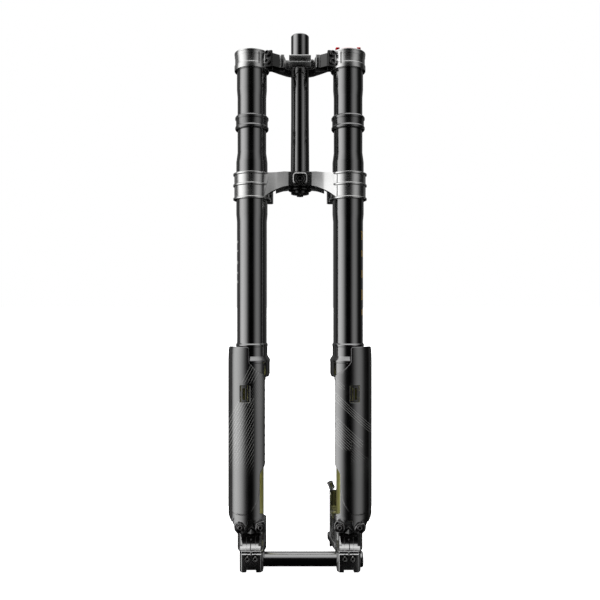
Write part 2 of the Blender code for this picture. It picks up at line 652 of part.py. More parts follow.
def make_brake_mount(dropout):
    """Two calliper posts on the back of a pocketed bracket behind the right leg, on its wheel side."""
    side_view = [(-14, -584), (-14, -556), (-8, -545), (-4, -539), (-4, -511), (-1, BRACKET_TOP)]
    side_view += [(14, BRACKET_TOP), (14, BRACKET_BOTTOM), (6, BRACKET_BOTTOM), (-2, -590)]
    web = prism("bracket_web", side_view, BRACKET_INNER, BRACKET_INNER + 1.9, plane="YZ")
    lower = [(BRACKET_INNER, -540), (50.5, -540), (59, -553.5), (59, -584), (52, -590), (BRACKET_INNER, -584)]
    foot = [(44, 8), (44, 0), (53, -44), (55.7, -44), (55.7, -34), (55.2, -20), (58, -8), (58, 0), (52, 8)]
    join(
        dropout,
        prism("bracket_lower", lower, -14, 2, plane="XZ"),
        prism("bracket_foot", foot, -583, -574),
        web,
        box("bracket_back", (BRACKET_INNER, 8, BRACKET_BOTTOM), (60, 14, BRACKET_TOP)),
        box("bracket_shelf", (BRACKET_INNER, -3, -540.5), (60, 10, -537.5)),
    )
    for index in range(2):
        level = UPPER_POST_Z - index * POST_SPACING
        outline = arc((POST_X, level), POST_RADIUS, 0, 360, 16)[:-1]
        join(dropout, prism(f"brake_post_{index}", outline, 11, POST_FACE_Y, plane="XZ"))
        cut(dropout, screw_hole(f"brake_post_hole_{index}", (POST_X, POST_FACE_Y, level), 2.6, 24))
    guide = [(0, 12), (4.4, 12), (5, 11), (5, 2), (4, 0), (0, 0)]
    place = (52.6, 11, BRACKET_TOP + 2.4)
    hose_guide = turned("hose_guide", guide, "black_rubber", place, segments=SMALL_SEGMENTS)
    hose_guide.rotation_euler = (0, math.radians(-23), 0)


def main():
    clear_scene()
    make_steerer()
    make_lower_crown()
    make_upper_crown()
    make_crown_screws()
    make_top_fittings()
    make_cartridge("left", SIDES["left"], "air_piston", "air_piston_rod", "air_cylinder", "air_seal_head")
    make_cartridge("right", SIDES["right"], "damper_piston", "damper_rod", "damper_body", "damper_seal_head")
    for word, side in SIDES.items():
        make_upper_leg(word, side)
        make_stanchion(word, side)
        dropout = make_dropout(word, side)
        if word == "right":
            make_brake_mount(dropout)
        make_guard(word, side)
    make_axle()
    make_rebound_knob()


main()
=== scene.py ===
"""Looks of the suspension fork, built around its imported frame.

Shapes are written in millimetres in the frame's own axes: +Z up the steerer, -Y the front, and the
left leg at -X. Leg shapes are drawn with u pointing away from the wheel, so one drawing serves both.
"""

import math

import bmesh
import bpy
from mathutils import Matrix, Vector
from mathutils.geometry import delaunay_2d_cdt


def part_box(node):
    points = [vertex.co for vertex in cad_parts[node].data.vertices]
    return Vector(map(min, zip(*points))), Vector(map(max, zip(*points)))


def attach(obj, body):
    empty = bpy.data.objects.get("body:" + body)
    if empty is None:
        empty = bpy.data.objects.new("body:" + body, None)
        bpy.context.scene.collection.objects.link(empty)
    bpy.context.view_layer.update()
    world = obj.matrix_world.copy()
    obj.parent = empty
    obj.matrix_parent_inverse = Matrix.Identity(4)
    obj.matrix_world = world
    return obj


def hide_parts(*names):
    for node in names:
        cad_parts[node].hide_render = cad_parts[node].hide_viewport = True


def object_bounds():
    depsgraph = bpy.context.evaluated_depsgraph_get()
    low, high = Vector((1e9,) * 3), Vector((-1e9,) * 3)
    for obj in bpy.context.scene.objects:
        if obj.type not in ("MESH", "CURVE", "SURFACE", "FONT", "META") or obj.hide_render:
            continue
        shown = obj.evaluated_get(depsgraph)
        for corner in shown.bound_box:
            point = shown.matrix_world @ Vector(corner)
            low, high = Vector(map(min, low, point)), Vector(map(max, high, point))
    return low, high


MM = 0.001
SIDES = {"left": -1, "right": 1}
UPPER = "upper_assembly"
LOWER = "lower_assembly"

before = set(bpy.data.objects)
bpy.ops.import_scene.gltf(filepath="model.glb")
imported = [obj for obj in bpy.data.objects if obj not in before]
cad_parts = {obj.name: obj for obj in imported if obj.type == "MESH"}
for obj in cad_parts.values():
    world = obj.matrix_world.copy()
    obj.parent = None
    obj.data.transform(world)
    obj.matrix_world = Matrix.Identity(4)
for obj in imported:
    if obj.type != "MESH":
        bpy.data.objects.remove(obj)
cad_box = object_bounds()


def centre(node):
    """The middle of a solid's box, in millimetres."""
    low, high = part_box(node)
    return (low + high) / 2 / MM


LEG = {word: (centre(f"{word}_outer_tube").x, centre(f"{word}_outer_tube").y) for word in SIDES}
LEG_X = LEG["right"][0]
LEG_Y = LEG["right"][1]


# Mesh tools -----------------------------------------------------------------------------------


def rounded(points, closed=True, steps=5):
    """Corners written (a, b, radius) become arcs; corners written (a, b) stay sharp."""
    result = []
    count = len(points)
    for index, point in enumerate(points):
        here = Vector(point[:2])
        radius = point[2] if len(point) > 2 else 0
        ends = not closed and index in (0, count - 1)
        if radius <= 0 or ends:
            result.append(tuple(here))
            continue
        before = Vector(points[index - 1][:2]) - here
        after = Vector(points[(index + 1) % count][:2]) - here
        angle = before.angle(after)
        reach = min(radius / math.tan(angle / 2), 0.49 * before.length, 0.49 * after.length)
        radius = reach * math.tan(angle / 2)
        start = here + before.normalized() * reach
        end = here + after.normalized() * reach
        middle = here + (before.normalized() + after.normalized()).normalized() * (radius / math.sin(angle / 2))
        turn = math.pi - angle
        total = max(2, round(steps * turn / (math.pi / 2)))
        first = start - middle
        sign = 1 if first.x * (end - middle).y - first.y * (end - middle).x > 0 else -1
        for step in range(total + 1):
            a = sign * turn * step / total
            spun = (
                first.x * math.cos(a) - first.y * math.sin(a),
                first.x * math.sin(a) + first.y * math.cos(a),
            )
            result.append((middle.x + spun[0], middle.y + spun[1]))
    return result


def to_object(name, mesh_data, matrix=None, sharp=32):
    """A bmesh in millimetres becomes a smooth-shaded object in metres, with its place in its vertices."""
    if matrix is not None:
        bmesh.ops.transform(mesh_data, matrix=matrix, verts=mesh_data.verts)
    bmesh.ops.recalc_face_normals(mesh_data, faces=mesh_data.faces)
    bmesh.ops.scale(mesh_data, vec=(MM, MM, MM), verts=mesh_data.verts)
    mesh = bpy.data.meshes.new(name)
    mesh_data.to_mesh(mesh)
    mesh_data.free()
    mesh.shade_smooth()
    mesh.set_sharp_from_angle(angle=math.radians(sharp))
    obj = bpy.data.objects.new(name, mesh)
    bpy.context.scene.collection.objects.link(obj)
    return obj


def hexagon_radius(radius, angle):
    """The distance to a hexagon's edge, for a hexagon whose flats are at the radius."""
    sector = (angle + math.pi / 6) % (math.pi / 3) - math.pi / 6
    return radius / math.cos(sector)


def lathe(name, profile, matrix=None, segments=96, closed=False, sharp=32):
    """A profile of (radius, height) spun about +Z; (radius, height, "hex") makes that ring a hexagon."""
    mesh_data = bmesh.new()
    rings = []
    for point in profile:
        radius, height = point[:2]
        if radius == 0:
            rings.append([mesh_data.verts.new((0, 0, height))])
            continue
        ring = []
        for step in range(segments):
            angle = 2 * math.pi * step / segments
            reach = hexagon_radius(radius, angle) if len(point) > 2 else radius
            ring.append(mesh_data.verts.new((reach * math.cos(angle), reach * math.sin(angle), height)))
        rings.append(ring)
    pairs = list(zip(rings, rings[1:]))
    if closed:
        pairs.append((rings[-1], rings[0]))
    for upper, lower in pairs:
        for step in range(segments):
            after = (step + 1) % segments
            if len(upper) == 1:
                corners = [upper[0], lower[step], lower[after]]
            elif len(lower) == 1:
                corners = [upper[step], lower[0], upper[after]]
            else:
                corners = [upper[step], lower[step], lower[after], upper[after]]
            mesh_data.faces.new(corners)
    if not closed:
        for ring in (rings[0], rings[-1]):
            if len(ring) > 1:
                mesh_data.faces.new(ring)
    return to_object(name, mesh_data, matrix, sharp)


def rod(name, radius, high, low, matrix=None, segments=96):
    """A plain cylinder along the matrix's Z axis, mostly a drill or a shank."""
    return lathe(name, [(0, high), (radius, high), (radius, low), (0, low)], matrix, segments)


def bevel_edges(mesh_data, width, limit=30, segments=3):
    edges = [e for e in mesh_data.edges if len(e.link_faces) == 2 and e.calc_face_angle(0) > math.radians(limit)]
    bmesh.ops.bevel(
        mesh_data, geom=edges, offset=width, segments=segments, profile=0.5, affect="EDGES", clamp_overlap=True
    )


LIFTS = {
    "XY": lambda a, b, c: (a, b, c),
    "XZ": lambda a, b, c: (a, c, b),
    "YZ": lambda a, b, c: (c, a, b),
}


def prism(name, outline, low, high, plane="XY", matrix=None, edge=0.0, limit=30):
    """An outline drawn in a plane and pushed along the third axis, with its edges rounded."""
    lift = LIFTS[plane]
    mesh_data = bmesh.new()
    floor = [mesh_data.verts.new(lift(a, b, low)) for a, b in outline]
    roof = [mesh_data.verts.new(lift(a, b, high)) for a, b in outline]
    mesh_data.faces.new(floor)
    mesh_data.faces.new(roof[::-1])
    for index in range(len(outline)):
        after = (index + 1) % len(outline)
        mesh_data.faces.new([floor[index], floor[after], roof[after], roof[index]])
    bmesh.ops.recalc_face_normals(mesh_data, faces=mesh_data.faces)
    if edge:
        bevel_edges(mesh_data, edge, limit)
    return to_object(name, mesh_data, matrix)


def block(name, low, high, matrix=None):
    outline = [(low[0], low[1]), (high[0], low[1]), (high[0], high[1]), (low[0], high[1])]
    return prism(name, outline, low[2], high[2], matrix=matrix)


def hull(name, points, edge=0.0, matrix=None):
    """The convex solid around some points."""
    mesh_data = bmesh.new()
    for point in points:
        mesh_data.verts.new(point)
    made = bmesh.ops.convex_hull(mesh_data, input=mesh_data.verts)
    loose = [v for v in made["geom_interior"] + made["geom_unused"] if isinstance(v, bmesh.types.BMVert)]
    bmesh.ops.delete(mesh_data, geom=list(set(loose)), context="VERTS")
    bmesh.ops.dissolve_limit(mesh_data, angle_limit=0.02, verts=mesh_data.verts, edges=mesh_data.edges)
    if edge:
        bevel_edges(mesh_data, edge)
    return to_object(name, mesh_data, matrix)


def bake(obj):
    """Applies the object's modifiers."""
    graph = bpy.context.evaluated_depsgraph_get()
    mesh = bpy.data.meshes.new_from_object(obj.evaluated_get(graph))
    obj.modifiers.clear()
    obj.data = mesh
    mesh.shade_smooth()
    mesh.set_sharp_from_angle(angle=math.radians(32))


def boolean(target, operation, others):
    for other in others:
        modifier = target.modifiers.new(other.name, "BOOLEAN")
        modifier.operation = operation
        modifier.object = other
        modifier.solver = "MANIFOLD"
    bake(target)
    for other in others:
        bpy.data.objects.remove(other)


def cut(target, *others):
    """Takes the others away from the target and removes them."""
    boolean(target, "DIFFERENCE", others)


def join(target, *others):
    boolean(target, "UNION", others)


def intersect(target, other):
    boolean(target, "INTERSECT", [other])


def at(x=0, y=0, z=0, turn=(0, 0, 0)):
    """A matrix that turns by angles in degrees about X, Y and Z, then moves, in millimetres."""
    spin = Matrix()
    for angle, axis in zip(turn, "XYZ"):
        spin = Matrix.Rotation(math.radians(angle), 4, axis) @ spin
    return Matrix.Translation((x, y, z)) @ spin


def at_leg(word, z=0, turn=(0, 0, 0)):
    return at(LEG[word][0], LEG[word][1], z, turn)


def sided(points, side):
    """Points drawn with u outward, placed on the leg of that side."""
    return [(side * p[0], *p[1:]) for p in points]


def mirrored(points):
    """The right half of an outline, completed with its left half."""
    return points + [(-p[0], *p[1:]) for p in reversed(points) if p[0] != 0]


def place(obj, material, body, slot, *nodes):
    """Gives a piece its material and body, and hides the solids that it stands for; the slot argument is not used.
    """
    obj.data.materials.clear()
    obj.data.materials.append(material)
    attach(obj, body)
    if nodes:
        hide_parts(*nodes)
    return obj


# Materials ------------------------------------------------------------------------------------


def add_node(tree, kind, inputs=None, **settings):
    made = tree.nodes.new(kind)
    for key, value in settings.items():
        setattr(made, key, value)
    for key, value in (inputs or {}).items():
        if isinstance(value, bpy.types.NodeSocket):
            tree.links.new(value, made.inputs[key])
        else:
            made.inputs[key].default_value = value
    return made


def calc(tree, operation, *values):
    made = tree.nodes.new("ShaderNodeMath")
    made.operation = operation
    for index, value in enumerate(values):
        if isinstance(value, bpy.types.NodeSocket):
            tree.links.new(value, made.inputs[index])
        else:
            made.inputs[index].default_value = value
    return made.outputs[0]


def times(tree, first, *others):
    for other in others:
        first = calc(tree, "MULTIPLY", first, other)
    return first


def new_material(name):
    material = bpy.data.materials.new(name)
    material.use_nodes = True
    tree = material.node_tree
    return material, tree, tree.nodes["Principled BSDF"]


def ramp(tree, value, low, high, out_low=0.0, out_high=1.0, smooth=False):
    made = add_node(tree, "ShaderNodeMapRange", {0: value, 1: low, 2: high, 3: out_low, 4: out_high})
    if smooth:
        made.interpolation_type = "SMOOTHSTEP"
    return made.outputs[0]


def mix_colour(tree, factor, first, second):
    made = add_node(tree, "ShaderNodeMix", data_type="RGBA")
    for socket, value in ((made.inputs[0], factor), (made.inputs[6], first), (made.inputs[7], second)):
        if isinstance(value, bpy.types.NodeSocket):
            tree.links.new(value, socket)
        elif isinstance(value, (int, float)):
            socket.default_value = value
        else:
            socket.default_value = (*value, 1)
    return made.outputs[2]


def object_place(tree):
    return add_node(tree, "ShaderNodeTexCoord").outputs["Object"]


def noise(tree, scale, stretch=(1, 1, 1), detail=3.0):
    mapped = add_node(tree, "ShaderNodeMapping", {"Vector": object_place(tree), "Scale": stretch})
    made = add_node(tree, "ShaderNodeTexNoise", {"Vector": mapped.outputs[0], "Scale": scale, "Detail": detail})
    return made.outputs[0]


def finish_surface(tree, shader, colour, vary, roughness, rough_vary, grain, grain_scale, stretch=(1, 1, 1),
                   marks=None):
    """Colour and roughness vary slowly over the surface, and a fine grain shows as bump.

    marks is a mask and the colour that covers the surface where the mask is 1.
    """
    slow = noise(tree, 45, stretch)
    darker = tuple(c * (1 - vary) for c in colour)
    lighter = tuple(min(1, c * (1 + vary)) for c in colour)
    base = mix_colour(tree, ramp(tree, slow, 0.3, 0.7), darker, lighter)
    if marks:
        base = mix_colour(tree, marks[0], base, marks[1])
    tree.links.new(base, shader.inputs["Base Color"])
    rough = ramp(tree, slow, 0.3, 0.7, roughness - rough_vary, roughness + rough_vary)
    tree.links.new(rough, shader.inputs["Roughness"])
    fine = noise(tree, grain_scale, stretch, detail=4)
    bump = add_node(tree, "ShaderNodeBump", {"Height": fine, "Strength": grain, "Distance": 0.0004})
    tree.links.new(bump.outputs[0], shader.inputs["Normal"])


def surface(name, colour, roughness, metallic=0.0, ior=1.5, vary=0.12, rough_vary=0.03, grain=0.1, grain_scale=900,
            stretch=(1, 1, 1)):
    material, tree, shader = new_material(name)
    shader.inputs["Metallic"].default_value = metallic
    shader.inputs["IOR"].default_value = ior
    finish_surface(tree, shader, colour, vary, roughness, rough_vary, grain, grain_scale, stretch)
    return material


def worn_surface(name, colour, edge_colour, roughness, metallic, grain=0.12, grain_scale=1200):
    """A coated metal whose coating thins a little along convex edges."""
    material, tree, shader = new_material(name)
    shader.inputs["Metallic"].default_value = metallic
    pointed = add_node(tree, "ShaderNodeNewGeometry").outputs["Pointiness"]
    broken = noise(tree, 380)
    edge = calc(tree, "MULTIPLY", ramp(tree, pointed, 0.53, 0.62), ramp(tree, broken, 0.35, 0.65))
    finish_surface(tree, shader, colour, 0.15, roughness, 0.04, grain, grain_scale, marks=(edge, edge_colour))
    return material


BLACK = (0.002, 0.002, 0.002)


def make_materials():
    return {
        "silver": surface("satin_silver", (0.60, 0.60, 0.595), 0.24, 1.0, vary=0.04, rough_vary=0.02, grain=0.015,
                          grain_scale=500, stretch=(1, 1, 6)),
        "upper_crown": crown_material_with_painted_shade(),
        "dropout": dropout_material_with_painted_shade(),
        "black_screw": worn_surface("black_oxide_steel", (0.07, 0.07, 0.07), (0.45, 0.44, 0.43), 0.24, 1.0, 0.03),
        "dark_metal": worn_surface("grey_anodised", (0.40, 0.40, 0.40), (0.62, 0.62, 0.61), 0.27, 1.0, 0.02),
        "rubber": surface("moulded_rubber", (0.005, 0.005, 0.005), 0.2, ior=2.6, grain=0.05, grain_scale=1200),
        "plain_plastic": surface("moulded_plastic", (0.008, 0.008, 0.008), 0.28, ior=1.9, grain=0.05,
                                 grain_scale=1300),
        "steel": surface("ground_steel", (0.55, 0.55, 0.55), 0.22, 1.0, vary=0.05, grain=0.03, stretch=(1, 1, 0.1)),
        "bronze": surface("sintered_bronze", (0.45, 0.27, 0.12), 0.4, 1.0, grain=0.3, grain_scale=2500),
        "red": surface("red_anodised", (0.62, 0.012, 0.02), 0.28, 1.0, vary=0.1, grain=0.03),
        "gold": surface("hard_gold", (0.80, 0.78, 0.30), 0.34, 0.85, vary=0.06, grain=0.02, grain_scale=1800),
        "axle": surface("axle_black", BLACK, 0.13, ior=2.9, vary=0.3, rough_vary=0.02, grain=0.01),
        "steerer": surface("steerer_black", BLACK, 0.12, ior=3.0, vary=0.3, rough_vary=0.02, grain=0.01),
    }


def crown_material_with_painted_shade():
    """A clear anodised crown whose pinch ears, beside the clamp bands, carry painted shade: a dark colour standing
    in for the dark reflections on this same metal.
    """
    material, tree, shader = new_material("upper_crown_painted_shade")
    shader.inputs["Metallic"].default_value = 1.0
    split = add_node(tree, "ShaderNodeSeparateXYZ", {0: object_place(tree)})
    aside = calc(tree, "SUBTRACT", calc(tree, "ABSOLUTE", split.outputs[0]), LEG_X * MM)
    ahead = calc(tree, "SUBTRACT", split.outputs[1], LEG_Y * MM)
    squares = calc(tree, "ADD", times(tree, aside, aside), times(tree, ahead, ahead))
    reach = calc(tree, "SQRT", squares)
    near_band = ramp(tree, reach, 0.0272, 0.0274)
    # painted shade: the pinch ears' faces are coloured dark (0.03) in place of the dark studio that the silver
    # reflects there
    ear = times(tree, near_band, ramp(tree, aside, -0.0125, -0.0130), ramp(tree, aside, -0.0437, -0.0433), 0.94)
    colour = (0.60, 0.60, 0.595)
    finish_surface(tree, shader, colour, 0.04, 0.24, 0.02, 0.01, 500, (1, 1, 6), marks=(ear, (0.03, 0.03, 0.03)))
    return material


def tube_material(word):
    """Black anodising with plain bars down the outer side of the lower tube in place of its lettering."""
    side = SIDES[word]
    material, tree, shader = new_material(f"{word}_tube_black")
    shader.inputs["IOR"].default_value = 3.0
    split = add_node(tree, "ShaderNodeSeparateXYZ", {0: object_place(tree)})
    x, z = split.outputs[0], split.outputs[2]
    outward = calc(tree, "MULTIPLY", calc(tree, "SUBTRACT", x, side * LEG_X * MM), side)
    if word == "right":
        reach = ramp(tree, outward, 0.0195, 0.0200)
        spots = ((-0.100, 0.014), (-0.128, 0.010), (-0.160, 0.012), (-0.192, 0.016), (-0.219, 0.009))
        colour = (0.55, 0.33, 0.03)
    else:
        reach = ramp(tree, outward, 0.0205, 0.0210)
        spots = ((-0.110, 0.004), (-0.124, 0.003), (-0.142, 0.005), (-0.158, 0.003), (-0.172, 0.004))
        colour = (0.5, 0.5, 0.48)
    bars = None
    for middle, length in spots:
        away = calc(tree, "ABSOLUTE", calc(tree, "SUBTRACT", z, middle))
        bar = calc(tree, "LESS_THAN", away, length / 2)
        bars = bar if bars is None else calc(tree, "MAXIMUM", bars, bar)
    marks = (calc(tree, "MULTIPLY", bars, reach), colour)
    finish_surface(tree, shader, BLACK, 0.3, 0.13, 0.015, 0.01, 700, marks=marks)
    return material


# Printed stripes on each guard: their slope in degrees, then for each group its reach across the
# stripes, outward and in height, and its spacing and strength. Millimetres; heights fade in at the foot.
STRIPES = {
    "left": (62, [
        ((-157, -140), (-19, 14), (-327, -322, -296), 3.8, 0.85),
        ((-205, -158), (-23, -2), (-385, -350, -303), 2.5, 0.4),
        ((-260, -150), (-5, 36), (-466, -425, -348), 3.6, 1.0),
    ]),
    "right": (43, [
        ((-254, -247), (-23, -8), (-336, -334, -318), 3.0, 0.8),
        ((-273, -262), (-23, 36), (-402, -400, -330), 2.9, 1.0),
        ((-301, -288), (-23, 20), (-424, -421, -362), 3.2, 0.9),
        ((-320, -301), (-23, 2), (-428, -424, -380), 3.2, 0.9),
        ((-345, -302), (2, 36), (-480, -440, -395), 3.0, 0.4),
    ]),
}


def band(tree, value, low, high, soft=0.3):
    """1 between low and high, and 0 beyond a soft edge."""
    return calc(tree, "MULTIPLY", ramp(tree, value, low - soft, low), ramp(tree, value, high + soft, high))


def stripe_groups(tree, out, high, slope, groups):
    """How much of the print covers a point, from 0 to 1."""
    total = None
    sine, cosine = math.sin(math.radians(slope)), math.cos(math.radians(slope))
    across = calc(tree, "ADD", times(tree, out, sine), times(tree, high, cosine))
    for (first, last), (inner, outer), (foot, full, head), spacing, strength in groups:
        wave = calc(tree, "PINGPONG", calc(tree, "ADD", across, 1000), spacing / 2)
        line = ramp(tree, wave, spacing * 0.19, spacing * 0.09)
        window = times(tree, band(tree, across, first, last), band(tree, out, inner, outer, 1.0))
        tall = times(tree, ramp(tree, high, foot, full), ramp(tree, high, head + 0.5, head))
        part = times(tree, line, window, times(tree, tall, strength))
        total = part if total is None else calc(tree, "MAXIMUM", total, part)
    return total


def guard_material(word):
    """Black moulded plastic with the leg's printed stripes."""
    side = SIDES[word]
    material, tree, shader = new_material(f"{word}_guard_plastic")
    shader.inputs["IOR"].default_value = 2.8
    split = add_node(tree, "ShaderNodeSeparateXYZ", {0: object_place(tree)})
    out = calc(tree, "MULTIPLY", calc(tree, "SUBTRACT", split.outputs[0], side * LEG_X * MM), side / MM)
    high = calc(tree, "MULTIPLY", split.outputs[2], 1 / MM)
    tilt, groups = STRIPES[word]
    printed = stripe_groups(tree, out, high, tilt, groups)
    marks = (calc(tree, "MULTIPLY", printed, 0.85), (0.30, 0.30, 0.29))
    finish_surface(tree, shader, (0.004, 0.004, 0.004), 0.2, 0.17, 0.02, 0.02, 1400, marks=marks)
    return material


# Crowns and steerer ---------------------------------------------------------------------------


def socket_screw(name, matrix, head_radius, head_height, shank_radius, shank_length, key=None, dome=0.0):
    """A cap screw with a hexagon socket. Its seat is at the matrix's origin and its head points along +Z."""
    key = key or head_radius * 0.5
    floor = head_height * 0.3
    profile = [(0, floor), (key * 0.98, floor, "hex"), (key, head_height - 0.3 + dome, "hex")]
    profile += [(key * 1.2, head_height + dome)]
    if dome:
        profile += [(head_radius * 0.62, head_height + dome * 0.75), (head_radius * 0.84, head_height + dome * 0.3)]
    profile += [(head_radius - 0.9, head_height), (head_radius - 0.35, head_height - 0.3)]
    profile += [(head_radius, head_height - 1.0), (head_radius, 0.25), (head_radius - 0.25, 0)]
    profile += [(shank_radius, 0), (shank_radius, -shank_length), (0, -shank_length)]
    return lathe(name, profile, matrix, segments=48)


def washer_screw(name, matrix, radius, height):
    """A button screw on a broad washer."""
    key = 2.0
    profile = [(0, height * 0.3), (key * 0.98, height * 0.3, "hex"), (key, height - 0.3, "hex")]
    profile += [(key + 0.5, height), (3.0, height - 0.1), (3.75, height - 0.8), (3.9, height - 1.6)]
    profile += [(3.9, 1.4), (4.2, 1.2)]
    profile += [(radius - 0.6, 1.2), (radius, 0.7), (radius, 0), (2.5, 0), (2.5, -10), (0, -10)]
    return lathe(name, profile, matrix, segments=48)


def make_steerer(materials):
    outer = [(12.7, 222.7, 0.4), (14.3, 221.1, 0.6), (14.3, 90, 8), (15, 12, 8), (15, -21.0, 0.3)]
    inner = [(11.5, -21.0, 0.3), (11.5, 222.7, 0.4)]
    tube = lathe("steerer", rounded(outer + inner), closed=True)
    place(tube, materials["steerer"], UPPER, "black_tube", "steerer_tube")
    profile = [(16.5, -22), (18.4, -23, 0.5), (18.4, -25.5, 0.7), (14.4, -27, 0.6), (14.4, -30.9, 0.8)]
    profile += [(7, -30.9, 0.5)]
    profile = [(0, -22)] + rounded(profile, False)
    profile += [(5.2, -31.0, "hex"), (5.2, -34.2, "hex"), (4.4, -34.5, "hex"), (0, -34.5)]
    plug = lathe("steerer_plug", profile)
    place(plug, materials["black_screw"], UPPER, "black_hardware", "steerer_bottom_plug")


LOWER_BORE = 24.6


def collar_profile(bore, top_z, bottom_z, radius, bead, beads, half=1.5):
    """A clamp band with raised beads, as a closed profile."""
    points = [(bore, top_z)]
    for middle in beads:
        points += [(radius, middle + half + 0.7, 0.4), (bead, middle + half, 0.6), (bead, middle - half, 0.6)]
        points += [(radius, middle - half - 0.7, 0.4)]
    points += [(bore, bottom_z)]
    return rounded(points)


def make_lower_crown(materials):
    elevation = [(0, 0), (24, 0, 10), (46, -3.5, 20), (60, -5.5), (60, -43.5), (54.5, -41, 3), (45, -33.3, 20)]
    elevation += [(37.5, -28.7, 20), (27, -24, 20), (16.4, -21.3, 8), (0, -21.3)]
    crown = prism("lower_crown_forging", rounded(mirrored(elevation), steps=4), -70, 30, "XZ")
    plan = [(0, -28.8), (18, -28.8, 3), (37, -34.3, 26), (46, -39.6, 10), (56, -45.5)]
    plan += [(60, -44), (60, -6), (48, -5, 4), (31, 8, 14), (20, 18, 8), (10, 22, 8), (0, 23)]
    intersect(crown, prism("plan", rounded(mirrored(plan), steps=5), -60, 20))
    modifier = crown.modifiers.new("edges", "BEVEL")
    modifier.width = 0.9 * MM
    modifier.segments = 3
    modifier.limit_method = "ANGLE"
    modifier.angle_limit = math.radians(40)
    bake(crown)
    pad = [(11.2, -2.2, 5), (11.2, -19.3, 5), (-11.2, -19.3, 5), (-11.2, -2.2, 5)]
    join(crown, prism("pad", rounded(pad), -33.5, -20, "XZ", edge=1.5, limit=50))
    for side in SIDES.values():
        ear = [(42.5, -16), (59, -16), (59, 1, 3), (55, 5, 1.5), (46, 5, 1.5), (42.5, 1, 3)]
        ear_block = prism("ear", rounded(sided(ear, side)), -46, -6, edge=0.7)
        collar = lathe(
            "collar",
            collar_profile(20, -3.5, -46, 27.4, 29.1, (-5.6, -22.6, -43.3), 1.3),
            at(side * LEG_X, LEG_Y),
            closed=True,
        )
        bore = rod("bore", LOWER_BORE, 20, -80, at(side * LEG_X, LEG_Y))
        join(crown, ear_block, collar)
        pocket = [(side * 24, -25), (side * 44, -25), (side * 44, 2), (side * 24, 2)]
        pocket = prism("pocket", rounded([(*p, 3) for p in pocket]), -60, -7)
        slit = block("slit", (side * 49 - 8, -12.5, -60), (side * 49 + 8, -11, 10))
        cut(crown, bore, pocket, slit)
        for level in (-14, -36):
            cut(crown, rod("hole", 3, 20, -20, at(side * 49, -4, level, (90, 0, 0)), 32))
        for low_z, high_z in ((-20.6, -7.8), (-41.2, -24.8)):
            cut(crown, block("parting", (side * 57 - 0.45, -52, low_z), (side * 57 + 0.45, -44.6, high_z)))
    cut(crown, rod("steerer_bore", 15.3, 20, -60))
    well = [(9.4, -4.0, 3.6), (9.4, -17.5, 3.6), (-9.4, -17.5, 3.6), (-9.4, -4.0, 3.6)]
    socket = [(0, 40), (7.9, 40), (7.9, 26.0), (0, 26.0)]
    well = prism("well", rounded(well), -40, -30.2, "XZ")
    cut(crown, well, lathe("socket", socket, at(0, 0, -11.2, (90, 0, 0)), 64))
    place(crown, materials["silver"], UPPER, "crown_aluminium", "lower_crown")


PINCH_TURN = 18  # degrees that the upper crown's pinch ears face outward
PINCH_X, PINCH_Y = 49.3, -44.9
PINCH_LEVELS = (177.0, 164.6)


def pinch_seat(side, level):
    turn = math.radians(PINCH_TURN)
    x, y = PINCH_X + 0.3 * math.sin(turn), PINCH_Y - 0.3 * math.cos(turn)
    return at(side * x, y, level, (90, 0, side * PINCH_TURN))


def make_crown_screws(materials):
    made = socket_screw("stem_stop_screw", at(0, -26.3, -11.2, (90, 0, 0)), 7.6, 4.4, 3, 0.2, 2.9)
    screws = [(made, "crown_front_screw")]
    for word, side in SIDES.items():
        for row, level in (("upper", -14), ("lower", -36)):
            name = f"lower_crown_screw_{word}_{row}"
            made = socket_screw(f"rear_{name}", at(side * 49, 5.3, level, (-90, 0, 0)), 4.4, 4.5, 2.6, 14)
            screws.append((made, name))
        for row, level in zip(("upper", "lower"), PINCH_LEVELS):
            name = f"upper_crown_screw_{word}_{row}"
            made = socket_screw(f"front_{name}", pinch_seat(side, level), 4.4, 4.0, 2.5, 13, 2.5)
            screws.append((made, name))
    made = socket_screw("stem_pinch_screw", at(17.3, -23.5, 172.5, (0, 90, 0)), 4, 4, 2.5, 28)
    screws.append((made, "steerer_pinch_screw"))
    for made, node in screws:
        place(made, materials["black_screw"], UPPER, "black_hardware", node)


